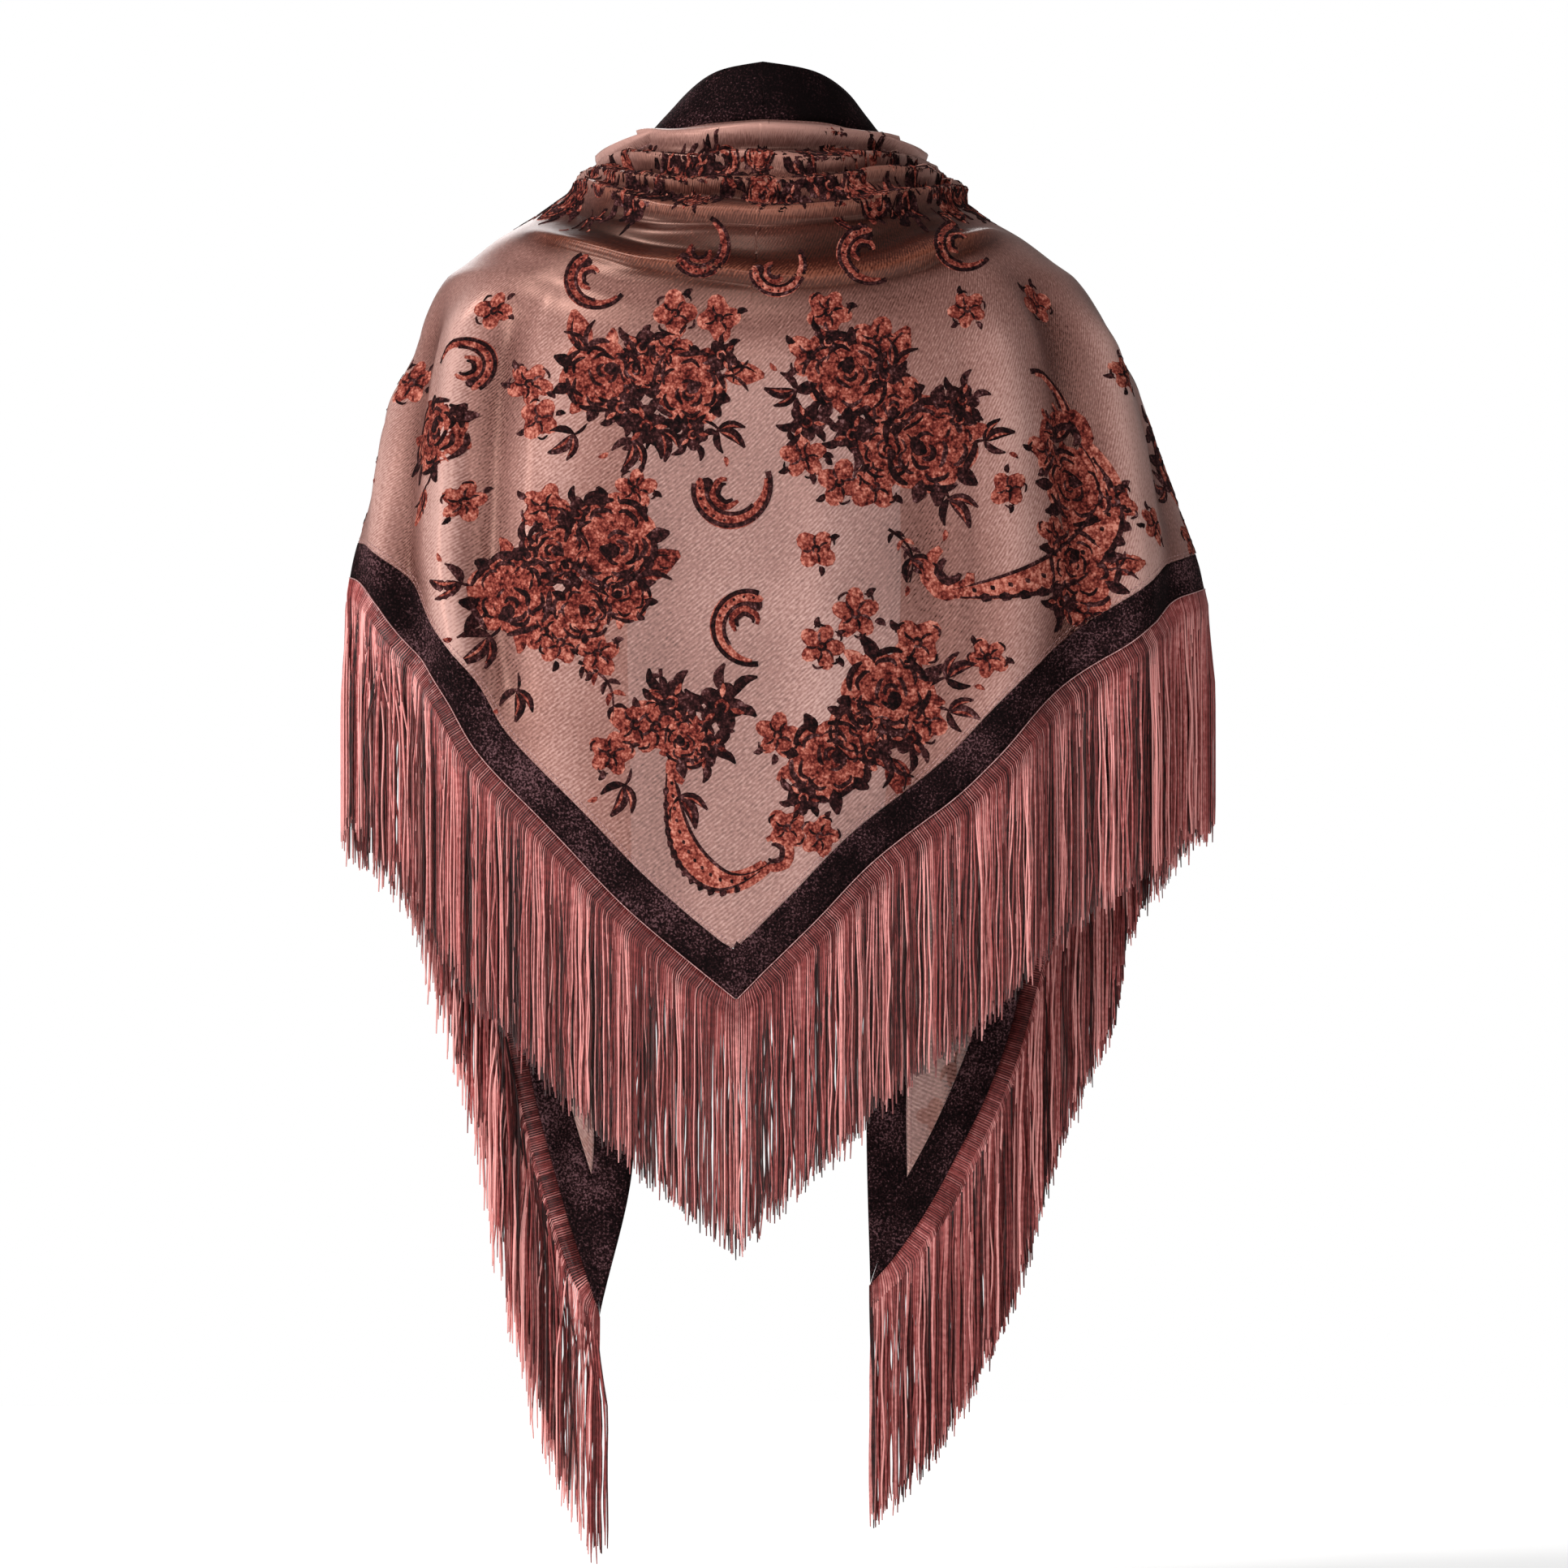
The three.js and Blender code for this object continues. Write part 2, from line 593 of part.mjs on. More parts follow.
// A strand of four sides that hangs straight down from the four vertices of its root
function hangStrand(vertices, faces, root, rim, c) {
  const middle = rim[c].place.clone().lerp(rim[c + 1].place, 0.5);
  const neighbours = [c - 2, c + 2].filter((i) => rim[i] && rim[i + 1]);
  const distances = neighbours.map((i) => {
    const other = rim[i].place.clone().lerp(rim[i + 1].place, 0.5);
    return Math.hypot(other.x - middle.x, other.y - middle.y);
  });
  const nearest = Math.min(...distances);
  const width = Math.min(STRAND, nearest * STRAND_FILL);
  const across = level(rim[c].along).multiplyScalar(width / 2);
  const through = level(rim[c].outward).multiplyScalar(STRAND / 2);
  const low = Math.min(...root.map((i) => vertices[i].z));
  const drop = FRINGE_DROP + UNEVEN * Math.sin(c * UNEVEN_STEP);
  const falls = [ROOT_FALL, drop];
  let above = root;
  falls.forEach((fall, i) => {
    const sway = level(rim[c].outward).multiplyScalar(i === 0 ? 0 : SWAY * Math.sin(c * SWAY_STEP + i));
    const ring = [
      [-1, 1],
      [1, 1],
      [1, -1],
      [-1, -1],
    ].map(([side, face]) => {
      const corner = middle.clone().addScaledVector(across, side).addScaledVector(through, face).add(sway);
      corner.z = low - fall;
      return vertices.push(corner) - 1;
    });
    for (let k = 0; k < 4; k += 1) {
      const next = (k + 1) % 4;
      faces.push([above[k], ring[k], ring[next], above[next]]);
    }
    above = ring;
  });
  const [outerLeft, outerRight, innerRight, innerLeft] = above;
  faces.push([outerRight, outerLeft, innerLeft, innerRight]);
}

const clothColour = { color: 0xa57d78, roughness: 0.55, metalness: 0 };
const borderColour = { color: 0x2a1a1e, roughness: 0.85, metalness: 0 };
const fringeColour = { color: 0xb06a6a, roughness: 0.5, metalness: 0 };

const shawl = new THREE.Group();
function add(name, geometry, colour) {
  const mesh = new THREE.Mesh(geometry, new THREE.MeshStandardMaterial(colour));
  mesh.name = name;
  shawl.add(mesh);
}

add("panel", panel(), clothColour);
add("nape_border", napeBorder(), borderColour);
for (const [name, side] of Object.entries(sides)) {
  const { sign } = side;
  add(`front_border_${name}`, frontBorder(side), borderColour);
  add(`hem_border_${name}`, clothWall(hemBorderGrid(side), BORDER_CLOTH), borderColour);
  const line = hemLine(side);
  const arm = sign < 0 ? line.length - 1 - ARM_COLUMN : ARM_COLUMN;
  const [lower, upper] = [line.slice(0, arm + 1), line.slice(arm)];
  const [front, back] = sign < 0 ? [lower, upper] : [upper, lower];
  const parted = midStation(...(sign < 0 ? [front.at(-1), front.at(-2)] : [front[0], front[1]]), PART_SHARE);
  if (sign < 0) front[front.length - 1] = parted;
  else front[0] = parted;
  add(`fringe_${name}_back`, fringe(back), fringeColour);
  add(`fringe_${name}_front`, fringe(front), fringeColour);
}

export default shawl;
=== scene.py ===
# Looks of the triangle shawl as it is worn: a half sheer cloth with velvety flowers and scrolls, a
# speckled dark border, a ribbed header and a long silky fringe. Sizes are in millimetres until a
# mesh is made, and angles in degrees. The back faces -Y.
import math

import bpy
import numpy as np
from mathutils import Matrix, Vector
from mathutils.bvhtree import BVHTree


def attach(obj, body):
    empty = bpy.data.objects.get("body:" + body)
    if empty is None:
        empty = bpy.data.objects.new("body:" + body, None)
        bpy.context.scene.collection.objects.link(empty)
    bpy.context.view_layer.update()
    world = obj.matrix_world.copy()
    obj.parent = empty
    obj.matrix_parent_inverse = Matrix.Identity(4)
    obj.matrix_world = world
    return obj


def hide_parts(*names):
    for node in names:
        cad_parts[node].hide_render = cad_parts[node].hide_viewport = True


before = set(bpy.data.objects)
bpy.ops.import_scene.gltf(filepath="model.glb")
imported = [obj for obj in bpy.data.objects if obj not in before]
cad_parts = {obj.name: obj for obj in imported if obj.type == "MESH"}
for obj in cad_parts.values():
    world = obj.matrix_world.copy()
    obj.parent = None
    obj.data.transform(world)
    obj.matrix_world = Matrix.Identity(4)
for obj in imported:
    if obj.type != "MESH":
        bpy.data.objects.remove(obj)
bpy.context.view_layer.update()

MM = 0.001

# Borders, seams and header, as on the solids
NAPE_BORDER = 44
END_BORDER = 30
BORDER_TAPER = 400
HEM_BORDER = 25
NECK_HALF = 175
TUCK = 0.5  # how far the panel's edge lies inside the fold of a border
CORNER_TUCK = 2.5  # and by how much more at the hem's middle corner, over a share of the hem
CORNER_SHARE = 0.015
TIP_SEAM = 1.2
HEADER_DEPTH = 14
FRINGE_DROP = 168
CORNER_STRETCH = 1.3

# Real thicknesses
CLOTH = 0.6
VELVET = 1.0
PILE = 0.55

# Points of the cloth: columns round the body on each side, and rows from the neck to the hem
SIDE_COLUMNS = 135
NECK_DEPTH = 145  # mm below the long border over which the rows are close
NECK_STEP = 2.4
LOWER_ROWS = 108
BORDER_ROWS = 8
FRONT_COLUMNS = 180
HEM_COLUMNS = 240
WALK = 32  # steps down the panel that measure its length
FINE = 200  # steps along an outer edge that find the panel's edge inside it
LOOK = 0.025  # share of a line over which its direction is taken
FAR_BELOW = 2000  # a distance past all lying folds
UV_RADIUS = 240

# Photograph: millimetres a pixel, and the pixel column and row of the origin
PHOTO_SCALE = 0.6
PHOTO_ORIGIN = (940, 250)
PHOTO_SIDE = 1932
CAMERA_AWAY = 8000
EYE_BACK = 50  # mm from the origin to the place on the back that has the photograph's scale
SENSOR = 36

# The body's form: height, half widths to the left and right, depths to the back and front
SECTIONS = np.array(
    [
        (-840, 316, 333, 112, 108), (-600, 316, 333, 119, 120), (-450, 316, 333, 124, 128),
        (-340, 316, 331, 129, 134), (-275, 309, 321, 133, 136), (-222, 294, 304, 136, 134),
        (-150, 273, 280, 137, 127), (-102, 257, 261, 134, 117), (-78, 249, 249, 131, 110),
        (-54, 235, 232, 126, 101), (-43, 220, 217, 122, 95), (-25, 197, 193, 116, 85),
        (-9, 170, 166, 108, 74), (10, 143, 140, 98, 63), (36, 103, 103, 82, 54),
        (65, 74, 78, 69, 46), (87, 55, 62, 62, 42), (104, 45, 51, 57, 40),
    ],
    float,
)

# The long edge on each side from nape to tip, and the hem from the broad corner to the tip: turn
# round the body from the middle of the back, and height
LONG_EDGE = {
    "left": [
        (0, 104), (42, 98), (82, 80), (118, 46), (146, 10),
        (156, -80), (161, -330), (162, -700), (157, -831),
    ],
    "right": [
        (0, 104), (42, 98), (82, 80), (118, 46), (146, 10),
        (156, -80), (162, -330), (166.5, -680), (166, -807),
    ],
}
HEM = {
    "left": [
        (3.5, -587), (18, -522), (30, -459), (42, -403), (49, -357), (58, -322),
        (64, -298), (78, -277), (92, -275), (110, -304), (123, -343), (131, -385),
        (136, -448), (142, -545), (146, -645), (154, -782), (157, -831),
    ],
    "right": [
        (-3.5, -587), (6.5, -530), (14, -486), (26, -435), (38, -374), (46, -346),
        (61, -310), (76, -289), (92, -285), (108, -304), (121, -333), (128, -372),
        (131, -442), (138, -500), (143, -556), (147.6, -638), (156, -730), (163, -788),
        (166, -807),
    ],
}

# Folds that hang: turn and height at the upper end, turn and height at the lower end, half width,
# height above the form. The last ones are slight and only on this finer cloth.
HANGING = [
    (-60, -95, -45, -330, 15, 10), (-76, -100, -54, -330, 15, -9), (-48, -110, -38, -350, 17, -7),
    (-84, -150, -62, -300, 14, 7), (-33, -140, -27, -440, 20, 4), (-16, -260, -12, -560, 24, -3),
    (8, -230, 6, -560, 26, 3), (24, -180, 20, -450, 22, -4), (42, -110, 32, -400, 18, 5),
    (58, -80, 41, -380, 22, -11), (74, -110, 54, -330, 18, 9), (86, -180, 68, -310, 15, -6),
    (-98, -130, -92, -320, 17, -7), (-112, -120, -108, -360, 17, 7),
    (-126, -110, -122, -420, 17, -8), (-138, -90, -132, -520, 18, 8),
    (-147, -110, -143, -700, 16, -7), (-155, -140, -153, -760, 14, 6), (98, -140, 94, -330, 17, 6),
    (112, -120, 108, -350, 17, -7), (125, -110, 121, -400, 17, 8), (137, -90, 133, -500, 18, -8),
    (147, -110, 143, -640, 17, 7), (155, -130, 154, -760, 16, -6), (-67, -120, -50, -300, 6, 1.6),
    (-53, -140, -42, -310, 5, -1.4), (-40, -90, -33, -300, 7, 1.2), (51, -100, 37, -330, 6, 1.4),
    (66, -120, 48, -300, 6, -1.8), (80, -150, 61, -290, 5, 1.5), (33, -130, 27, -350, 7, -1.2),
    (-105, -150, -101, -300, 6, 1.5), (-132, -130, -127, -430, 6, -1.6),
    (-150, -200, -148, -640, 6, 1.4), (105, -150, 101, -300, 6, -1.5),
    (131, -130, 127, -420, 6, 1.6), (151, -200, 149, -640, 6, -1.4),
]
FADE = 45

# Folds that lie round the neck: how far below the border, half width, height, and the turn to the
# left and right where they end. The last ones are slight creases on this finer cloth.
LYING = [
    (2, 5, -4, 112, 112), (14, 8, 8, 122, 124), (27, 5, -6, 118, 104), (38, 6.5, 6.5, 124, 126),
    (49, 5, -6, 98, 122), (60, 6.5, 6, 126, 118), (71, 5, -5.5, 122, 88), (82, 6.5, 6, 100, 124),
    (93, 6, -4, 92, 96), (112, 15, -7, 86, 90), (134, 7, 5, 70, 78), (162, 15, -3.5, 62, 52),
    (43, 2.2, -1.2, 60, 84), (65, 2.2, -1.1, 88, 52), (87, 2.4, 1.1, 52, 74),
    (121, 3.2, 1.3, 66, 60), (143, 3.4, -1.0, 44, 66),
]
LYING_FADE = 30
UNEVEN_FOLD = 0.22
# Lying folds that sag: gentle above, steep below and higher than on the solids
SAGGING = (14, 38, 60, 82, 134)
SAG_ABOVE = 1.25
SAG_BELOW = 0.55
SAG_RISE = 1.5
# How far the lying folds wander up and down as they go round
WANDER = [(2.2, 3.1, 0.4), (1.3, 7.3, 2.1), (0.7, 13.7, 4.4)]
OWN_WANDER = 4.2
OWN_WAVES = 1.9
UNEVEN_WAVES = 4.3
# The wander grows from a first distance below the border, and ends at a last one
CALM, CALM_FADE = 8, 20
WANDER_END, WANDER_FADE = 190, 60
# Powers that shape the panel's lines round the body and keep the borders' rows square to them
SWING_POWER = 3
EDGE_POWER = 4
FACING_POWER = 5


def curve(at, value):
    """A smooth curve through values, with no overshoot between them."""
    at = np.asarray(at, float)
    value = np.asarray(value, float)
    if at[0] > at[-1]:
        at, value = at[::-1], value[::-1]
    step = np.diff(at)
    slope = np.diff(value) / step
    before, after = slope[:-1], slope[1:]
    product = before * after
    total = np.where(product > 0, before + after, 1)
    tangent = np.concatenate([slope[:1], np.where(product > 0, 2 * product / total, 0), slope[-1:]])

    def read(x):
        t = np.clip(x, at[0], at[-1])
        i = np.clip(np.searchsorted(at, t, side="right") - 1, 0, len(step) - 1)
        s = (t - at[i]) / step[i]
        rest = 1 - s
        ends = value[i] * (1 + 2 * s) * rest**2 + value[i + 1] * s**2 * (3 - 2 * s)
        return ends + step[i] * s * rest * (tangent[i] * rest - tangent[i + 1] * s)

    return read


HEIGHTS = SECTIONS[:, 0]
body_left, body_right, body_back, body_front = (curve(HEIGHTS, row) for row in SECTIONS[:, 1:].T)


def smooth(t):
    s = np.clip(t, 0, 1)
    return s * s * (3 - 2 * s)


def bell(distance, width):
    return np.exp(-((distance / width) ** 2))


def unit(v):
    return v / np.linalg.norm(v, axis=-1, keepdims=True)


def run_along(points):
    """Distances from the start along a line of points, or along each column of a grid."""
    steps = np.linalg.norm(np.diff(points, axis=0), axis=-1)
    return np.concatenate([0 * steps[:1], np.cumsum(steps, axis=0)])


def spans(turn, z):
    half = np.where(turn < 0, body_left(z), body_right(z))
    depth = np.where(np.abs(turn) < 90, body_back(z), body_front(z))
    return half, depth


def form_point(turn, z):
    """A point of the smooth form at a turn and a height."""
    half, depth = spans(turn, z)
    angle = np.radians(turn)
    return np.stack([half * np.sin(angle), -depth * np.cos(angle), z + 0 * angle], -1)


def form_normal(turn, z):
    around = form_point(turn + 1, z) - form_point(turn - 1, z)
    down = form_point(turn, z - 1) - form_point(turn, z + 1)
    return unit(np.cross(down, around))


def radius_at(turn, z):
    half, depth = spans(turn, z)
    angle = np.radians(turn)
    return np.hypot(half * np.cos(angle), depth * np.sin(angle))


def fold_height(turn, z, below):
    """How far the cloth stands off the smooth form in its folds."""
    radius = radius_at(turn, z)
    height = 0 * turn
    for top, high, end, low, width, rise in HANGING:
        share = np.clip((high - z) / (high - low), 0, 1)
        line = top + (end - top) * share
        ends = smooth((high + FADE - z) / FADE) * smooth((z - low + FADE) / FADE)
        height = height + rise * ends * bell(np.radians(turn - line) * radius, width)
    wander = sum(a * np.sin(np.radians(turn) * k + phase) for a, k, phase in WANDER)
    wander = wander * smooth((below - CALM) / CALM_FADE)
    wander = wander * smooth((WANDER_END - below) / WANDER_FADE)
    angle = np.radians(turn)
    for at, width, rise, left, right in LYING:
        fade = smooth((np.where(turn < 0, left, right) - np.abs(turn)) / LYING_FADE)
        fade = fade * (1 + UNEVEN_FOLD * np.sin(angle * UNEVEN_WAVES + at))
        own = np.sin(angle * (OWN_WAVES + at % 3) + at * OWN_WAVES) * smooth((at - CALM) / CALM_FADE)
        off = below + wander + OWN_WANDER * own - at
        sag = np.where((off > 0) & (rise > 0), SAG_BELOW, SAG_ABOVE) if at in SAGGING else 1
        height = height + rise * (SAG_RISE if at in SAGGING else 1) * fade * bell(off, width * sag)
    return height


def cloth_point(turn, z, below):
    return form_point(turn, z) + form_normal(turn, z) * fold_height(turn, z, below)[..., None]


class Line:
    """A line of places, asked for by its share of its whole length."""

    def __init__(self, turn, z):
        run = run_along(form_point(turn, z))
        self.length = run[-1]
        self.turn = curve(run, turn)
        self.z = curve(run, z)

    def at(self, share):
        run = np.asarray(share, float) * self.length
        return self.turn(run), self.z(run)


def beside(line, share, distance):
    """Places moved off a line, across its direction."""
    share = np.asarray(share, float)
    turn, z = line.at(share)
    from_turn, from_z = line.at(np.maximum(share - LOOK, 0))
    to_turn, to_z = line.at(np.minimum(share + LOOK, 1))
    round_step = np.linalg.norm(form_point(turn + 1, z) - form_point(turn - 1, z), axis=-1) / 2
    rise_step = np.linalg.norm(form_point(turn, z + 1) - form_point(turn, z - 1), axis=-1) / 2
    across = (to_turn - from_turn) * round_step
    up = (to_z - from_z) * rise_step
    step = distance / np.hypot(across, up)
    return turn - up * step / round_step, z + across * step / rise_step


def border_width(run):
    return END_BORDER + (NAPE_BORDER - END_BORDER) * smooth(1 - run / BORDER_TAPER)


class Side:
    """One side of the shawl: its outer edges, and the panel's edges a border's width inside them."""

    def __init__(self, name, sign):
        self.sign = sign
        edge = np.array(LONG_EDGE[name], float)
        hem = np.array(HEM[name], float)
        self.outer_long = Line(sign * edge[:, 0], edge[:, 1])
        self.outer_hem = Line(sign * hem[:, 0], hem[:, 1])
        shares = np.linspace(0, 1, FINE + 1)
        width = border_width(shares * self.outer_long.length)
        long_turn, long_z = beside(self.outer_long, shares, -sign * width)
        long_turn[0] = 0
        foot_turn, foot_z = beside(self.outer_hem, shares, sign * HEM_BORDER + 0 * shares)
        centre = float(self.outer_hem.at(0)[0])
        first = int(np.argmax(sign * (foot_turn - centre) > 0))
        foot_turn = np.concatenate([[centre], foot_turn[first:]])
        foot_z = np.concatenate([[foot_z[first]], foot_z[first:]])
        half = (body_left if sign < 0 else body_right)(long_z)[:, None]
        turn_gap = np.radians(long_turn[:, None] - foot_turn[None, :]) * half / 2
        gap = np.hypot(turn_gap, long_z[:, None] - foot_z[None, :])
        i, j = np.unravel_index(np.argmin(gap), gap.shape)
        corner = (foot_turn[j], foot_z[j])
        self.inner_long = Line(np.append(long_turn[:i], corner[0]), np.append(long_z[:i], corner[1]))
        self.inner_hem = Line(np.append(foot_turn[:j], corner[0]), np.append(foot_z[:j], corner[1]))
        self.neck_share = NECK_HALF / self.inner_long.length
        turn, z = self.inner_long.at(self.neck_share + (1 - self.neck_share) * shares)
        self.turn_at_height = curve(z, turn)

    def lines(self, share, t):
        """Places on the panel's lines that lie a share of the way round, t of the way down."""
        top_turn, top_z = self.inner_long.at(share * self.neck_share)
        foot_turn, foot_z = self.inner_hem.at(share)
        corner_turn, corner_z = self.inner_long.at(self.neck_share)
        tip_turn, tip_z = self.inner_hem.at(1)
        swing = 1 - (1 - t) ** SWING_POWER
        edge = self.turn_at_height(corner_z + (tip_z - corner_z) * t)
        off_edge = edge - corner_turn - (tip_turn - corner_turn) * swing
        turn = top_turn + (foot_turn - top_turn) * swing + off_edge * share**EDGE_POWER
        return turn, top_z + (foot_z - top_z) * t

    def panel(self, shares):
        """Rows of places of the panel on this side: turn, height and distance below the border."""
        share = shares[None, :]
        t = np.linspace(0, 1, WALK + 1)[:, None]
        turn, z = self.lines(share, t)
        run = run_along(form_point(turn, z))
        near = np.arange(0, NECK_DEPTH, NECK_STEP)[:, None]
        far = NECK_DEPTH + (run[-1] - NECK_DEPTH) * np.linspace(0, 1, LOWER_ROWS + 1)[:, None]
        below = np.vstack([near + 0 * share, far])
        place = np.stack([np.interp(below[:, c], run[:, c], t[:, 0]) for c in range(len(shares))], 1)
        turn, z = self.lines(share, place)
        return turn, z, below

    def long_border(self, shares, rows):
        """Rows of places of the long border, from its outer edge to the panel."""
        inner_turn, inner_z = beside(self.inner_long, shares, -self.sign * TUCK + 0 * shares)
        inner_turn[0] = 0
        tip = 1 - TIP_SEAM / self.outer_long.length
        outer = self.outer_long.at(tip * facing(shares, self.inner_long, self.outer_long))
        turn, z, t = between(outer, (inner_turn, inner_z), rows)
        return turn, z, -border_width(shares * self.inner_long.length) * (1 - t)

    def hem_border(self, shares, rows):
        """Rows of places of the hem's border, from the panel to its outer edge."""
        tuck = TUCK + CORNER_TUCK * smooth(1 - shares / CORNER_SHARE)
        inner_turn, inner_z = beside(self.inner_hem, shares, self.sign * tuck)
        first_turn, first_z = self.inner_hem.at(0)
        inner_turn[0], inner_z[0] = first_turn, first_z + 2 * CORNER_TUCK
        outer = self.outer_hem.at(facing(shares, self.inner_hem, self.outer_hem))
        turn, z, _ = between((inner_turn, inner_z), outer, rows)
        return turn, z, FAR_BELOW + 0 * turn


def between(first, last, rows):
    """Rows of places from one line of places to another, with each row's share of the way."""
    t = np.linspace(0, 1, rows + 1)[:, None]
    return *(a + (b - a) * t for a, b in zip(first, last)), t


def facing(share, inner, outer):
    """Shares of an outer line that lie across from shares of the line inside it."""
    level = inner.length / outer.length
    return level * share + (1 - level) * share**FACING_POWER


SIDES = {"left": Side("left", -1), "right": Side("right", 1)}


def grid_normals(points, turn, z):
    """Outward directions of a grid of points, from its neighbours inside and the form at its rim."""
    normals = form_normal(turn, z)
    down = points[2:, 1:-1] - points[:-2, 1:-1]
    across = points[1:-1, 2:] - points[1:-1, :-2]
    normals[1:-1, 1:-1] = unit(np.cross(down, across))
    return normals


def both_sides(make):
    """Joins the left and the right grid at the middle of the back, in order of turn."""
    left, right = make(SIDES["left"]), make(SIDES["right"])
    return [np.hstack([a[:, :0:-1], b]) for a, b in zip(left, right)]


def mesh_object(name, points, faces, materials, slot, nodes=(), tones=None, face_slots=None, uv=None):
    """A smooth piece from points in mm, and faces of four corners or of three with a -1 at the end.
    The tone of each point is read by its material; on the panel and the fringe it carries painted shade
    and painted light."""
    mesh = bpy.data.meshes.new(name)
    lengths = np.where(faces[:, -1] < 0, 3, 4)
    flat = faces[faces >= 0]
    mesh.vertices.add(len(points))
    mesh.vertices.foreach_set("co", (points * MM).astype(np.float32).ravel())
    mesh.loops.add(len(flat))
    mesh.loops.foreach_set("vertex_index", flat.astype(np.int32))
    mesh.polygons.add(len(faces))
    mesh.polygons.foreach_set("loop_start", (np.cumsum(lengths) - lengths).astype(np.int32))
    mesh.polygons.foreach_set("loop_total", lengths.astype(np.int32))
    mesh.polygons.foreach_set("use_smooth", np.ones(len(faces), bool))
    for material in materials:
        mesh.materials.append(material)
    if face_slots is not None:
        mesh.polygons.foreach_set("material_index", face_slots.astype(np.int32))
    if uv is not None:
        layer = mesh.uv_layers.new(name="flat")
        layer.data.foreach_set("uv", (uv[flat] * MM).astype(np.float32).ravel())
    mesh.update()
    mesh.validate()
    if tones is not None:
        layer = mesh.attributes.new("tone", "FLOAT", "POINT")
        layer.data.foreach_set("value", tones.astype(np.float32))
    piece = bpy.data.objects.new(name, mesh)
    bpy.context.scene.collection.objects.link(piece)
    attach(piece, "root")
    if nodes:
        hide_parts(*nodes)
    return piece


def quads(number):
    """Faces of four corners on a grid of point numbers."""
    first, second = number[..., :-1, :], number[..., 1:, :]
    corners = [first[..., :-1], second[..., :-1], second[..., 1:], first[..., 1:]]
    return np.stack(corners, -1).reshape(-1, 4)


def closed(number):
    """The grid of point numbers whose rows end at their own first point."""
    return np.concatenate([number, number[..., :1]], -1)


def numbers(points):
    """The number of each point of a grid of points."""
    return np.arange(points[..., 0].size).reshape(points.shape[:-1])


def wall(points, normals, thickness):
    """The points and faces of a thin wall on a grid: outer face, inner face and rim."""
    number = numbers(points)
    back = number.size
    half = normals * thickness / 2
    faces = [quads(number), quads(number)[:, [0, 3, 2, 1]] + back]
    for rim in (number[0, :], number[-1, ::-1], number[::-1, 0], number[:, -1]):
        first, second = rim[:-1], rim[1:]
        faces.append(np.stack([first, second, second + back, first + back], 1))
    return np.vstack([(points + half).reshape(-1, 3), (points - half).reshape(-1, 3)]), np.vstack(faces)


def flat_uv(turn, below):
    """Flat coordinates in mm of both faces: round the body at one radius, and down from the border."""
    uv = np.stack([np.radians(turn) * UV_RADIUS, -below], -1).reshape(-1, 2)
    return np.vstack([uv, uv])


# Materials. Lengths here are in metres, as the flat coordinates are.
SHEEN_ROUGHNESS = 0.4
TWILL_TURN = -50
TWILL_PITCH = 0.0021
BAND_SCALE = 0.314  # the texture's scale for bands one metre apart
STREAKS = (330, 620, 1)  # streaks a metre along and across the twill
SHEER = 0.78  # cover of a single layer of the ground
# How many times the cloth lies over itself, together with the painted shade of the neck folds and the
# trough under them, as a share of most, by the share of a depth below the border
LAYER_SHADE_STAGES = ((0.0, 0.42), (0.12, 0.55), (0.20, 0.85), (0.46, 1), (0.57, 1), (0.625, 0.45), (0.86, 0))
LAYER_SHADE_DEPTH = 0.25
LAYER_SHADE_HALF = (0.20, 0.38)  # half widths between which the overlap and its painted shade thin out


def rgb(red, green, blue):
    """A colour from its sRGB values, 0 to 255."""
    values = np.array([red, green, blue]) / 255
    linear = np.where(values <= 0.04045, values / 12.92, ((values + 0.055) / 1.055) ** 2.4)
    return (*linear.tolist(), 1)


def stops(*rows):
    """Stops of a colour ramp, from rows of position, red, green and blue."""
    return [(position, rgb(*colour)) for position, *colour in rows]


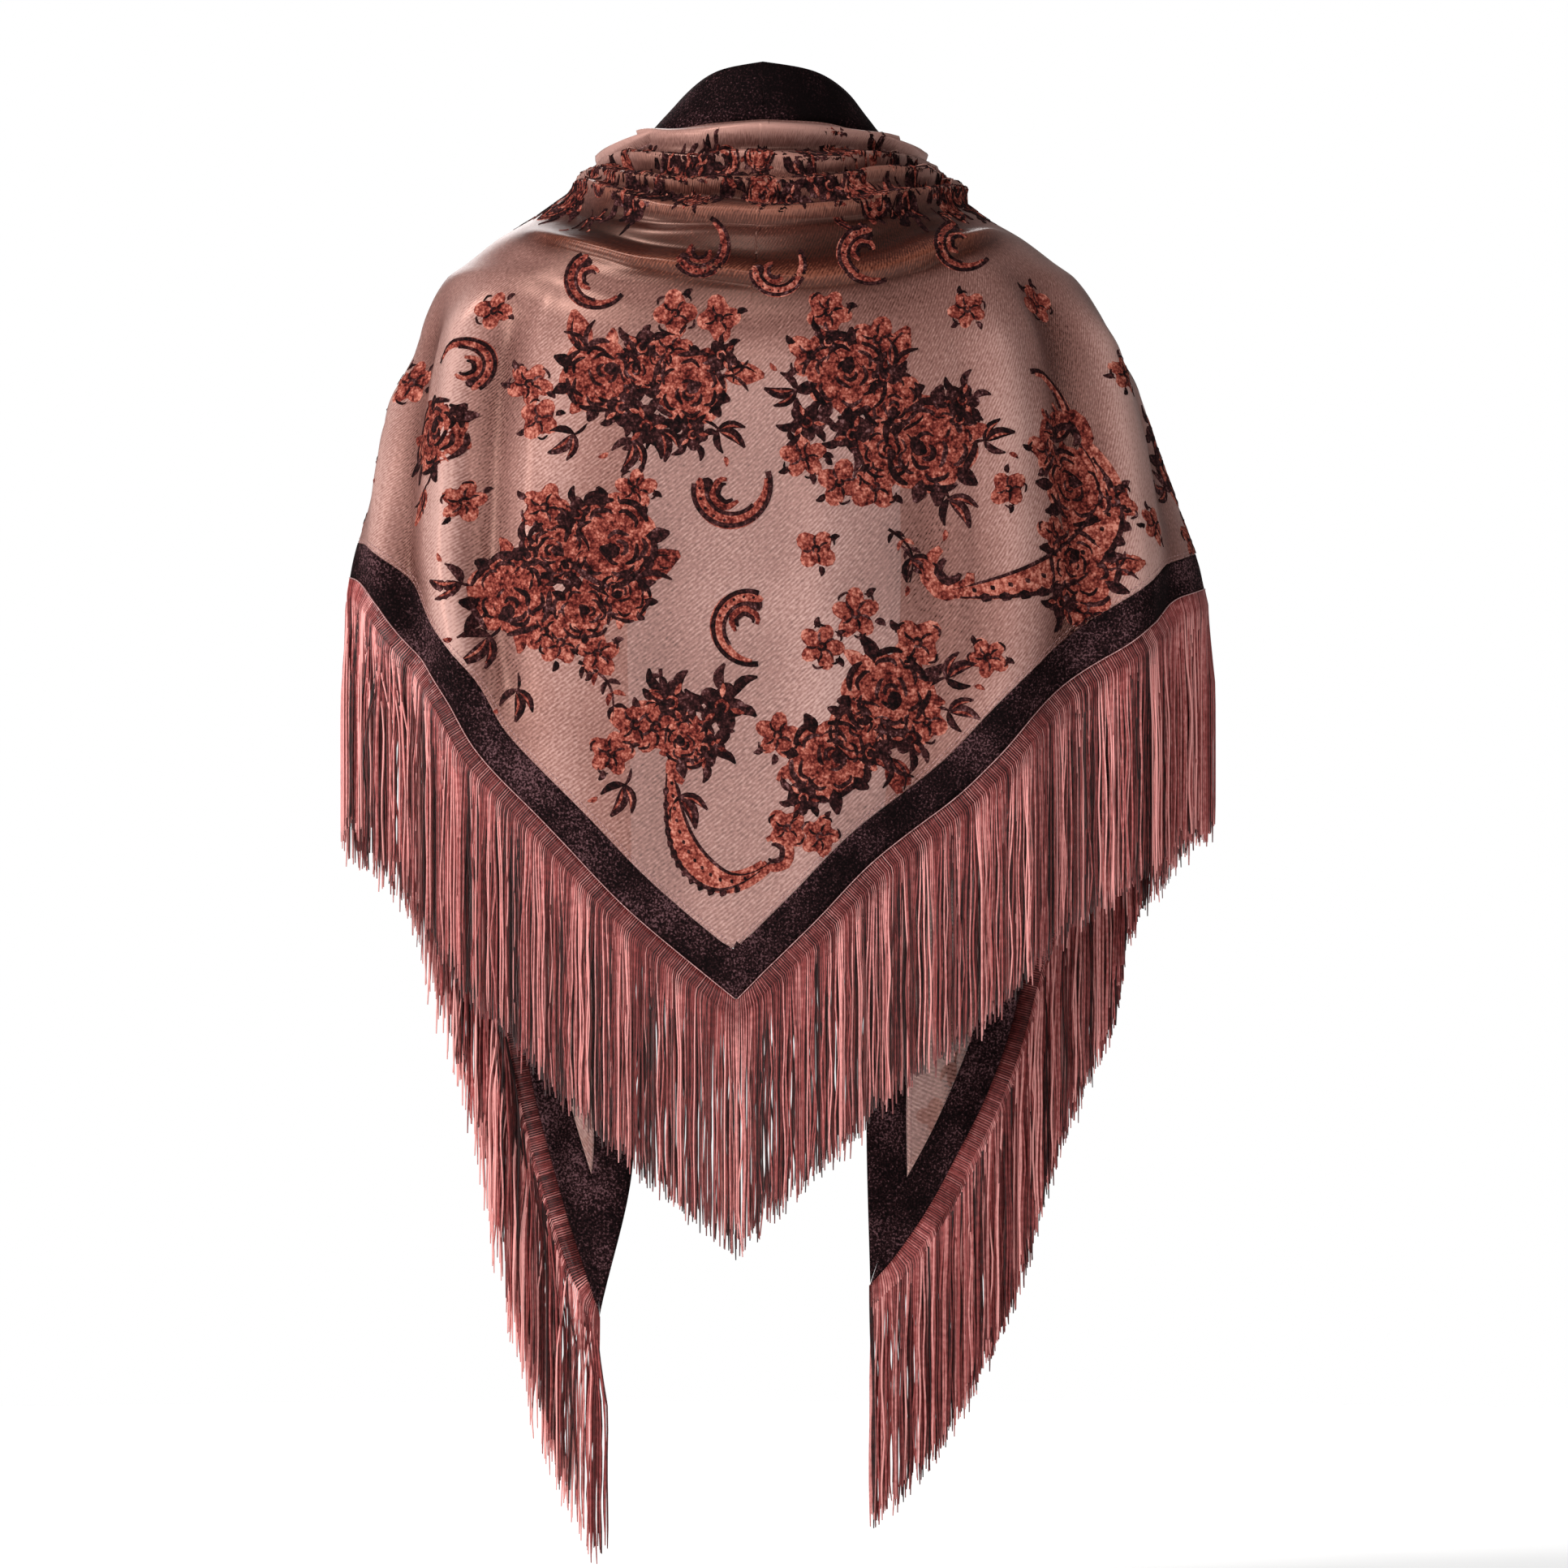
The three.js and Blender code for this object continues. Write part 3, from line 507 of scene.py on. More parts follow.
class Looks:
    """A material of nodes round one shader."""

    def __init__(self, name, roughness, sheen=0.0, sheen_tint=None, specular=0.3):
        self.material = bpy.data.materials.new(name)
        self.material.use_nodes = True
        self.tree = self.material.node_tree
        self.shader = self.tree.nodes["Principled BSDF"]
        self.shade("Roughness", roughness)
        self.shade("Specular IOR Level", specular)
        self.shade("Sheen Weight", sheen)
        self.shade("Sheen Roughness", SHEEN_ROUGHNESS)
        if sheen_tint:
            self.shade("Sheen Tint", sheen_tint)

    def feed(self, socket, value):
        """Links an output to a socket, or sets the socket's own value."""
        if isinstance(value, bpy.types.NodeSocket):
            self.tree.links.new(value, socket)
        else:
            socket.default_value = value

    def shade(self, key, value):
        self.feed(self.shader.inputs[key], value)

    def add(self, kind, inputs=None, **settings):
        node = self.tree.nodes.new("ShaderNode" + kind)
        for key, value in settings.items():
            setattr(node, key, value)
        for key, value in (inputs or {}).items():
            self.feed(node.inputs[key], value)
        return node

    def place(self, turn=0.0, scale=(1, 1, 1)):
        """Flat coordinates in metres, turned and then stretched."""
        flat = self.add("UVMap", uv_map="flat").outputs[0]
        turned = self.add("Mapping", {"Vector": flat, "Rotation": (0, 0, math.radians(turn))})
        return self.add("Mapping", {"Vector": turned.outputs[0], "Scale": scale}).outputs[0]

    def solid_place(self):
        return self.add("TexCoord").outputs["Object"]

    def noise(self, vector, scale, detail=2.0, rough=0.5):
        inputs = {"Vector": vector, "Scale": scale, "Detail": detail, "Roughness": rough}
        return self.add("TexNoise", inputs).outputs["Fac"]

    def maths(self, operation, *values):
        return self.add("Math", dict(enumerate(values)), operation=operation).outputs[0]

    def total(self, *terms, start=0.0):
        """The sum of values, each times its weight."""
        for value, weight in terms:
            start = self.maths("MULTIPLY_ADD", value, weight, start)
        return start

    def span(self, value, low, high, first=0.0, last=1.0):
        """Goes from the first result to the last while a value goes from low to high."""
        return self.add("MapRange", {0: value, 1: low, 2: high, 3: first, 4: last}).outputs[0]

    def ramp(self, factor, colours):
        node = self.add("ValToRGB", {"Fac": factor})
        elements = node.color_ramp.elements
        while len(elements) < len(colours):
            elements.new(0.5)
        for element, (position, colour) in zip(elements, colours):
            element.position = position
            element.color = colour
        return node.outputs["Color"]

    def mix(self, factor, a, b):
        node = self.add("Mix", data_type="RGBA")
        for socket, value in zip([s for s in node.inputs if s.enabled], (factor, a, b)):
            self.feed(socket, value)
        return [s for s in node.outputs if s.enabled][0]

    def tone(self):
        return self.add("Attribute", attribute_name="tone").outputs["Fac"]

    def bump(self, height, strength, distance):
        inputs = {"Height": height, "Strength": strength, "Distance": distance}
        self.shade("Normal", self.add("Bump", inputs).outputs[0])


def ground_material():
    """Half sheer satin twill: fine lines that rise to the right, with short streaks along them. It is
    browner and closer where it lies over itself by the neck; that dark brown is partly painted shade
    of the folds and the trough under them, and the panel's tone paints shade in fold valleys and a
    highlight on fold ridges."""
    look = Looks("satin_ground", 0.35, 0.04, rgb(235, 205, 196), specular=0.6)
    look.shade("Specular Tint", rgb(255, 200, 182))
    bands = {"Vector": look.place(TWILL_TURN), "Scale": BAND_SCALE / TWILL_PITCH}
    bands.update({"Distortion": 0.5, "Detail": 1.0})
    twill = look.add("TexWave", bands, wave_type="BANDS", bands_direction="Y").outputs["Fac"]
    streaks = look.noise(look.place(TWILL_TURN, STREAKS), 1.0, 3.0)
    cloudy = look.noise(look.place(), 9.0, 3.0)
    weave = look.total((twill, 0.17), (streaks, 0.78))
    # the tone attribute adds painted shade in the panel's fold valleys and a painted highlight on its
    # ridges
    tone = look.total((cloudy, 0.45), (look.tone(), 0.42), start=weave)
    single = stops((0.34, 70, 34, 28), (0.72, 152, 109, 101), (1.05, 200, 160, 151))
    # painted shade: where the cloth lies over itself the colour is a dark brown that also stands for the
    # shade of the neck folds and the trough under them
    shaded_layered = stops((0.36, 14, 3, 2), (0.74, 60, 21, 13), (1.05, 122, 68, 51))
    across, down, _ = look.add("SeparateXYZ", {0: look.place()}).outputs
    back = look.span(look.maths("ABSOLUTE", across), *LAYER_SHADE_HALF, 1.0, 0.3)
    layers_and_shade = [(at, (share, share, share, 1)) for at, share in LAYER_SHADE_STAGES]
    layers_and_shade = look.maths("MULTIPLY", look.ramp(look.span(down, 0.0, -LAYER_SHADE_DEPTH), layers_and_shade), back)
    look.shade("Base Color", look.mix(layers_and_shade, look.ramp(tone, single), look.ramp(tone, shaded_layered)))
    look.shade("Alpha", look.span(layers_and_shade, 0.0, 0.4, SHEER, 1.0))
    look.bump(weave, 0.3, 0.0004)
    return look.material


def border_material():
    """Black velvety border with a fine purplish speckle, darkened by painted shade on the upper nape,
    most at its right.
    """
    look = Looks("border_pile", 0.9, 0.02, rgb(150, 110, 116), specular=0.06)
    place = look.solid_place()
    fine = look.noise(place, 620.0, 2.0, 0.6)
    across, _, height = look.add("SeparateXYZ", {0: place}).outputs
    # painted shade: the upper nape is darker, most at its right, where less light falls
    right = look.span(across, -0.03, 0.01, 0.25, 1.0)
    nape = look.maths("MULTIPLY", look.span(height, 0.0, 0.06, 0.0, 0.13), right)
    speckle = look.total((look.noise(place, 26.0), 0.5), (nape, -1.0), start=fine)
    colours = stops((0.64, 10, 4, 5), (0.80, 34, 17, 19), (0.98, 100, 70, 74))
    look.shade("Base Color", look.ramp(speckle, colours))
    look.bump(fine, 0.6, 0.0008)
    return look.material


def pile_material(name, sheen_tint, colours):
    """Curled velvet pile of the motifs: small tufts with dark gaps between them."""
    look = Looks(name, 0.85, 0.04, sheen_tint, specular=0.08)
    place = look.solid_place()
    gaps = look.add("TexVoronoi", {"Vector": place, "Scale": 520.0}, feature="F1").outputs["Distance"]
    curls = look.noise(place, 420.0, 3.0, 0.6)
    patches = look.noise(place, 190.0, 1.0, 0.6)
    terms = (curls, 1.0), (gaps, -0.45), (patches, 0.9), (look.tone(), 0.55)
    tone = look.total(*terms, start=-0.47)
    look.shade("Base Color", look.ramp(tone, colours))
    look.bump(tone, 0.8, 0.0010)
    return look.material


def strand_material():
    """Silky strands, each of its own tone, which holds painted shade on the layers further in and painted
    light where strands stand off.
    """
    look = Looks("silky_strands", 0.36, 0.25, rgb(240, 190, 188))
    fine = look.noise(look.solid_place(), 260.0)
    tone = look.total((look.tone(), 1.0), (fine, 0.5), start=-0.25)
    colours = stops((0.0, 30, 4, 5), (0.30, 94, 30, 30), (0.62, 158, 74, 72), (1.0, 234, 160, 155))
    look.shade("Base Color", look.ramp(tone, colours))
    return look.material


def thread_material():
    look = Looks("thread", 0.6, 0.1)
    fine = look.noise(look.solid_place(), 900.0)
    look.shade("Base Color", look.ramp(fine, stops((0.3, 120, 78, 76), (0.7, 206, 160, 158))))
    return look.material


GROUND = ground_material()
BORDER = border_material()
RUST_COLOURS = stops((0.16, 40, 8, 8), (0.38, 94, 34, 29), (0.60, 140, 68, 56), (0.92, 197, 127, 110))
DARK_COLOURS = stops((0.20, 10, 3, 4), (0.50, 34, 12, 13), (0.75, 66, 34, 34), (0.98, 116, 80, 80))
RUST = pile_material("rust_pile", rgb(240, 180, 160), RUST_COLOURS)
DARK = pile_material("dark_pile", rgb(150, 120, 124), DARK_COLOURS)
STRANDS = strand_material()
THREAD = thread_material()

# Cloth and borders
FOLD_SHADE_HEIGHT = 14  # height of a fold in mm that has the full painted shade in a valley or painted highlight on a ridge
share = np.linspace(0, 1, SIDE_COLUMNS + 1)
panel_turn, panel_z, panel_below = both_sides(lambda side: side.panel(share))
panel_points = cloth_point(panel_turn, panel_z, panel_below)
panel_normals = grid_normals(panel_points, panel_turn, panel_z)
# painted shade: the panel's tone is darker in fold valleys and lighter on fold ridges
fold_shade_tones = np.clip(fold_height(panel_turn, panel_z, panel_below) / FOLD_SHADE_HEIGHT, -1, 1).ravel()
panel = mesh_object(
    "panel_cloth",
    *wall(panel_points, panel_normals, CLOTH),
    [GROUND],
    "cloth",
    ["panel"],
    tones=np.tile(fold_shade_tones, 2),
    uv=flat_uv(panel_turn, panel_below),
)


def border_piece(name, nodes, turn, z, below):
    points = cloth_point(turn, z, below)
    shell = wall(points, grid_normals(points, turn, z), VELVET)
    return mesh_object(name, *shell, [BORDER], "border", nodes)


def long_border_grid(side):
    neck = share * side.neck_share
    front = np.linspace(0, 1, FRONT_COLUMNS + 1)[1:]
    return side.long_border(np.append(neck, side.neck_share + (1 - side.neck_share) * front), BORDER_ROWS)


def hem_grid(side):
    return side.hem_border(np.linspace(0, 1, HEM_COLUMNS + 1), BORDER_ROWS)


LONG_NODES = ("front_border_left", "nape_border", "front_border_right")
long_border = border_piece("long_border_cloth", LONG_NODES, *both_sides(long_border_grid))
HEM_NODES = ("hem_border_left", "hem_border_right")
hem_border = border_piece("hem_border_cloth", HEM_NODES, *both_sides(hem_grid))


# Fringe: each strand starts as a rib of the header at the hem, bends and hangs straight down
DOWN = np.array([0, 0, -1])
RIB_PITCH = 1.8
RIB = 0.95
RIB_STOPS = (0.5, 7, HEADER_DEPTH - 1.5)  # distances off the hem of the points of a rib
STRAND = 0.82
BACKING = 0.6
EDGE_LINE = 0.45
BEND = 4  # mm below the header where a strand starts to hang
ARM_SHARE = 11 / 27  # the share of the hem where the back fringe ends and the front one starts
FALLS = (0.0, 0.05, 0.12, 0.22, 0.33, 0.44, 0.56, 0.68, 0.8, 0.9, 1.0)
# How uneven the strands are: in length, sideways and in depth, and swings on the way down
UNEVEN = 9
LENGTH_SPREAD = 3.0
OWN_SWAY = 0.7
OWN_DEPTH = 0.8
SWINGS = 11
# Waves along the hem, by which strands gather sideways and stand off: size, length and phase
CLUMPS = ((1.9, 23, 0.3), (1.3, 9.7, 1.9), (0.9, 5.1, 4.0))
WAVES = ((1.9, 47, 0.8), (1.2, 17, 2.6))
LAYER_SHIFT = 3  # how far these waves shift along the hem for 1 mm of a layer's lift
LOOSE_FROM = 0.30  # on the left, the share of the hem after which strands are missing in places
LOOSE_GAPS = ((1.0, 61, 1.1), (0.9, 19, 0.2), (0.8, 7.3, 3.3))
LOOSE_FADE = 0.04
LOOSE_LEVEL = 0.1
LOOSE_BUNCH = 2.0
MIDDLE_CLUMP = 0.55  # how much the strands gather below the broad corner, over a share of the hem
MIDDLE_SHARE = 0.2
# Layers of each fringe: shift along the hem as a share of the pitch, lift off the hem, and tone on
# the back and on the front. The tones are painted shade: on the back the layers further in are
# darker, and on the front, which is seen from inside too, the middle layer is the darkest.
LAYERS = ((0.0, 1.4, 0.70, 0.60), (0.5, -0.4, 0.28, 0.28), (0.25, -2.2, 0.02, 0.68))
HEADER_TONE = -0.04  # how much darker the header's ribs are
HEADER_SHARE = 0.4  # and how much of a strand's own tone they have
# Tone of each strand: with its clump, painted light where a wave makes it stand off, and a random spread
TONE_CLUMP, STAND_OFF_LIGHT, TONE_SPREAD = 0.07, 0.06, 0.22
GROWN_AT = 0.35  # the share of its fall where a strand has its whole sway
GROWN_POWER = 1.2
# Stations along the hem: samples, how many are averaged for a direction, and the shares of the hem
# over which the strands turn straight down, beside the corner and the tip
HEM_SAMPLES = 1200
AVERAGED = 21
CORNER_REACH = 0.03
TIP_REACH = 0.035


def sample(at, run, rows):
    """Rows of values read at distances along a run."""
    return np.stack([np.interp(at, run, column) for column in rows.T], 1)


def hem_stations(side, pitch, shift):
    """Evenly spaced stations along the hem: share, run, point, along, outward and off the hem."""
    fine = np.linspace(0, 1, HEM_SAMPLES + 1)
    turn, z, below = (rows[1] for rows in side.hem_border(fine, 1))
    edge = cloth_point(turn, z, below)
    along = unit(np.gradient(edge, axis=0)) * side.sign
    padded = np.pad(along, ((AVERAGED // 2, AVERAGED // 2), (0, 0)), mode="edge")
    kernel = np.ones(AVERAGED) / AVERAGED
    along = unit(np.stack([np.convolve(column, kernel, "valid") for column in padded.T], 1))
    outward = form_normal(turn, z)
    off = unit(np.cross(along, outward))
    corner = smooth(1 - fine / CORNER_REACH)[:, None]
    off = off * (1 - corner) + np.array([0, 0, -CORNER_STRETCH]) * corner
    tip = smooth((fine - 1 + TIP_REACH) / TIP_REACH)[:, None]
    off = off * (1 - tip) + DOWN * tip
    run = run_along(edge)
    count = int(run[-1] / pitch)
    at = (np.arange(count) + 0.5 + shift) * run[-1] / count
    return np.interp(at, run, fine), at, *(sample(at, run, a) for a in (edge, along, outward, off))


def levelled(v):
    return unit(v * np.array([1, 1, 0]))


def waves(table, place):
    """A sum of waves along a line, from rows of height, length and phase."""
    return sum(a * np.sin(place * 2 * math.pi / length + phase) for a, length, phase in table)


def tubes(paths, sideways, outward, radius, sides=3, start=math.pi / 2):
    """Closed tubes along paths of equal length: points and faces."""
    angle = np.arange(sides)[:, None] * 2 * math.pi / sides + start
    ring = np.cos(angle) * sideways[:, :, None] + np.sin(angle) * outward[:, :, None]
    points = paths[:, :, None] + ring * radius[:, None, None]
    number = numbers(points)
    caps = np.vstack([number[:, -1, ::-1], number[:, 0]])
    caps = np.pad(caps, ((0, 0), (0, 4 - sides)), constant_values=-1)
    return points.reshape(-1, 3), np.vstack([quads(closed(number)), caps])


def strand_layer(stations, side, random, lift, tone):
    """One layer of ribs and strands: points, faces and tones."""
    share, run, edge, along, outward, off = stations
    count = len(run)
    level_along, level_out = levelled(along), levelled(outward)
    place = run + lift * LAYER_SHIFT
    clump, wave = waves(CLUMPS, place), waves(WAVES, place)
    clump = clump * (MIDDLE_CLUMP + (1 - MIDDLE_CLUMP) * smooth(share / MIDDLE_SHARE))
    if side.sign < 0:
        clump = clump * (1 + LOOSE_BUNCH * smooth((share - LOOSE_FROM) / LOOSE_FADE))
    drop = FRINGE_DROP - BEND + random.uniform(-UNEVEN, UNEVEN * 0.6, count)
    drop += random.normal(0, LENGTH_SPREAD, count) - np.abs(random.normal(0, 1, count)) ** 3
    own = random.normal(0, OWN_SWAY, count)
    depth = random.normal(0, OWN_DEPTH, count) + lift
    phase, swing = random.uniform(0, 6.28, count), np.abs(random.normal(0, OWN_DEPTH, count))
    foot = edge + off * HEADER_DEPTH + DOWN * BEND
    path = [edge + off * stop for stop in RIB_STOPS]
    for fall in FALLS:
        grown = min(fall / GROWN_AT, 1) ** GROWN_POWER
        sway = (clump + own + swing * np.sin(fall * SWINGS + phase)) * grown
        point = foot + DOWN * (drop * fall)[:, None]
        point = point + level_along * sway[:, None]
        path.append(point + level_out * ((wave + depth) * grown)[:, None])
    paths = np.stack(path, 1)
    radius = np.array([RIB, RIB, RIB * 0.95] + [STRAND] * (len(FALLS) - 1) + [STRAND * 0.6])
    points, faces = tubes(paths, level_along[:, None], level_out[:, None], radius)
    # painted light: strands that a wave makes stand off are lighter
    own_tone = (TONE_CLUMP * clump + STAND_OFF_LIGHT * wave + random.normal(0, TONE_SPREAD, count))[:, None]
    tones = np.repeat(tone + own_tone, len(radius), axis=1)
    tones[:, : len(RIB_STOPS)] = tone + HEADER_TONE + HEADER_SHARE * own_tone
    return points, faces, np.repeat(tones.ravel(), 3)


def loose(stations, side):
    """Where strands hang: everywhere, but with gaps on the left beyond the arm's fold."""
    share, run = stations[:2]
    return (share < LOOSE_FROM) | (side.sign > 0) | (waves(LOOSE_GAPS, run) > LOOSE_LEVEL)


def header_backing(stations):
    edge, outward, off = stations[2], stations[4], stations[5]
    return wall(np.stack([edge, edge + off * (HEADER_DEPTH - 1)]), np.stack([outward, outward]), BACKING)


def edge_line(stations):
    """The light upper line of the header, as one thin tube along the hem."""
    edge, outward, off = stations[2], stations[4], stations[5]
    path = edge + off * 0.7 + outward
    return tubes(path[None], off[None], outward[None], np.array([EDGE_LINE]), 4, math.pi / 4)


def join(parts):
    """Joins parts of points, faces, tone and material slot into one mesh's arrays."""
    points, faces, tones, slots = [], [], [], []
    offset = 0
    for part_points, part_faces, part_tones, slot in parts:
        points.append(part_points)
        faces.append(np.where(part_faces >= 0, part_faces + offset, -1))
        tones.append(np.broadcast_to(part_tones, len(part_points)))
        slots.append(np.full(len(part_faces), slot))
        offset += len(part_points)
    return np.vstack(points), np.vstack(faces), np.concatenate(tones), np.concatenate(slots)


def fringe(name, side, region, seed):
    """The strands, backing and upper line of one stretch of the fringe."""
    random = np.random.default_rng(seed)
    parts = []
    for shift, lift, back_shade_tone, front_shade_tone in LAYERS:
        stations = hem_stations(side, RIB_PITCH, shift)
        inside = (stations[0] < ARM_SHARE) == (region == "back")
        here = [a[inside] for a in stations]
        if not parts:
            chosen = here
        if lift < 0:
            hanging = loose(here, side)
            here = [a[hanging] for a in here]
        # painted shade: the layers further in are darker on the back; on the front the middle one is
        # darkest
        tone = back_shade_tone if region == "back" else front_shade_tone
        parts.append((*strand_layer(here, side, random, lift, tone), 0))
    parts.append((*header_backing(chosen), 0.1, 0))
    parts.append((*edge_line(chosen), 0.9, 1))
    points, faces, tones, slots = join(parts)
    piece, node = f"fringe_{name}_{region}_strands", f"fringe_{name}_{region}"
    return mesh_object(piece, points, faces, [STRANDS, THREAD], "fringe", [node], tones, slots)


fringes = []
for name, side in SIDES.items():
    for region in ("back", "front"):
        fringes.append(fringe(name, side, region, 11 + len(fringes)))


# Stitches: rows of short raised threads beside each seam
STITCH = 2.6
STITCH_PITCH = 3.8
STITCH_HIGH = 0.35
STITCH_HALF = 0.3
STITCH_LINES = (1.6, 4.2)  # mm inside the panel's edge
# Faces of a thread from its six points, where 6 stands for no point
THREAD_FACES = ([0, 3, 4, 1], [1, 4, 5, 2], [0, 2, 5, 3], [0, 1, 2, 6], [3, 5, 4, 6])


def stitch_row(turn, z, below, inward=False):
    """Threads along a row of places on one face of the cloth."""
    points = cloth_point(turn, z, below)
    outward = form_normal(turn, z) * (-1 if inward else 1)
    run = run_along(points)
    count = int(run[-1] / STITCH_PITCH)
    start = (np.arange(count) + 0.15) * run[-1] / count
    ends = sample(start, run, points), sample(start + STITCH, run, points)
    out = unit(sample(start + STITCH / 2, run, outward))
    across = unit(np.cross(out, ends[1] - ends[0])) * STITCH_HALF
    low, high = out * CLOTH / 2, out * (CLOTH / 2 + STITCH_HIGH)
    corners = [end + corner for end in ends for corner in (low - across, high, low + across)]
    number = np.pad(np.arange(count * 6).reshape(count, 6), ((0, 0), (0, 1)), constant_values=-1)
    faces = np.vstack([number[:, face] for face in THREAD_FACES])
    return np.stack(corners, 1).reshape(-1, 3), faces, 0.5, 0


def stitch_rows():
    """Two rows beside each seam, on both faces along the long border."""
    parts = []
    along = np.linspace(0.004, 0.985, 420)
    for side in SIDES.values():
        for off in STITCH_LINES:
            row = beside(side.inner_long, along, -side.sign * off)
            hem = beside(side.inner_hem, along, side.sign * off)
            parts.append(stitch_row(*row, off + 0 * along))
            parts.append(stitch_row(*row, off + 0 * along, inward=True))
            parts.append(stitch_row(*hem, FAR_BELOW + 0 * along))
    return join(parts)[:2]


stitches = mesh_object("stitch_rows", *stitch_rows(), [THREAD], "border")

# Motifs: raised pile shapes drawn in a flat plane, and laid on the cloth point by point
outer_face = panel_points + panel_normals * CLOTH / 2
outer_faces = quads(numbers(outer_face)).tolist()
cloth_tree = BVHTree.FromPolygons(outer_face.reshape(-1, 3).tolist(), outer_faces)
BEHIND = 400  # mm behind the body's middle, where motifs seen from behind start
BESIDE = 45  # mm outside the form, where motifs laid round it start
FLATTEST_SEEN, FLATTEST_ROUND = 0.12, 0.34  # least cosines at which a direction meets the cloth
WIDE = 5  # mm from which a ribbon has a rounder dome
THIN = 0.8  # mm, the least width of a scroll
BLOOM_RINGS = (0.3, 0.55, 0.75, 0.9, 1.0)
MIDDLE = (0, 0)


def ray(angle):
    return np.stack([np.cos(angle), np.sin(angle)], -1)


def lay(starts, directions, reach, flattest):
    """Lays points on the cloth along their directions: place and normal, or NaN where a point misses
    it or meets it at too flat an angle."""
    laid = np.full((len(starts), 6), np.nan)
    for row, start, direction in zip(laid, starts.tolist(), directions.tolist()):
        hit, normal, _, _ = cloth_tree.ray_cast(Vector(start), Vector(direction), reach)
        if hit is not None and -normal.dot(Vector(direction)) > flattest:
            row[:] = (*hit, *normal)
    return laid


def lay_seen(points, x, z):
    """Lays flat points on the back as they are seen from behind."""
    starts = np.stack([x + points[:, 0], np.full(len(points), -BEHIND), z + points[:, 1]], 1)
    return lay(starts, np.tile([0.0, 1.0, 0.0], (len(points), 1)), 2 * BEHIND, FLATTEST_SEEN)


def lay_round(points, turn, z):
    """Lays flat points round the body about a place."""
    turns = turn + np.degrees(points[:, 0] / float(radius_at(np.array(turn), np.array(z))))
    heights = z + points[:, 1]
    out = form_normal(turns, heights)
    return lay(form_point(turns, heights) + out * BESIDE, -out, 2 * BESIDE, FLATTEST_ROUND)


class Drawing:
    """Raised shapes of one colour, gathered into one mesh."""

    def __init__(self):
        self.points, self.faces, self.tones, self.count = [], [], [], 0

    def add(self, laid, heights, faces, tone, level):
        """Adds the faces whose points all lie on the cloth."""
        found = ~np.isnan(laid[:, 0])
        faces = np.array(faces)
        faces = faces[(found[faces] | (faces < 0)).all(axis=1)]
        if found.mean() < 0.5 or len(faces) == 0:
            return
        number = np.cumsum(found) - 1 + self.count
        self.faces.append(np.where(faces < 0, -1, number[faces]))
        raised = laid[:, :3] + laid[:, 3:] * (np.array(heights) + level)[:, None]
        self.points.append(raised[found])
        self.tones.append(np.broadcast_to(tone, len(heights))[found])
        self.count += int(found.sum())

    def piece(self, name, material):
        shape = np.vstack(self.points), np.vstack(self.faces)
        return mesh_object(name, *shape, [material], "cloth", tones=np.concatenate(self.tones))


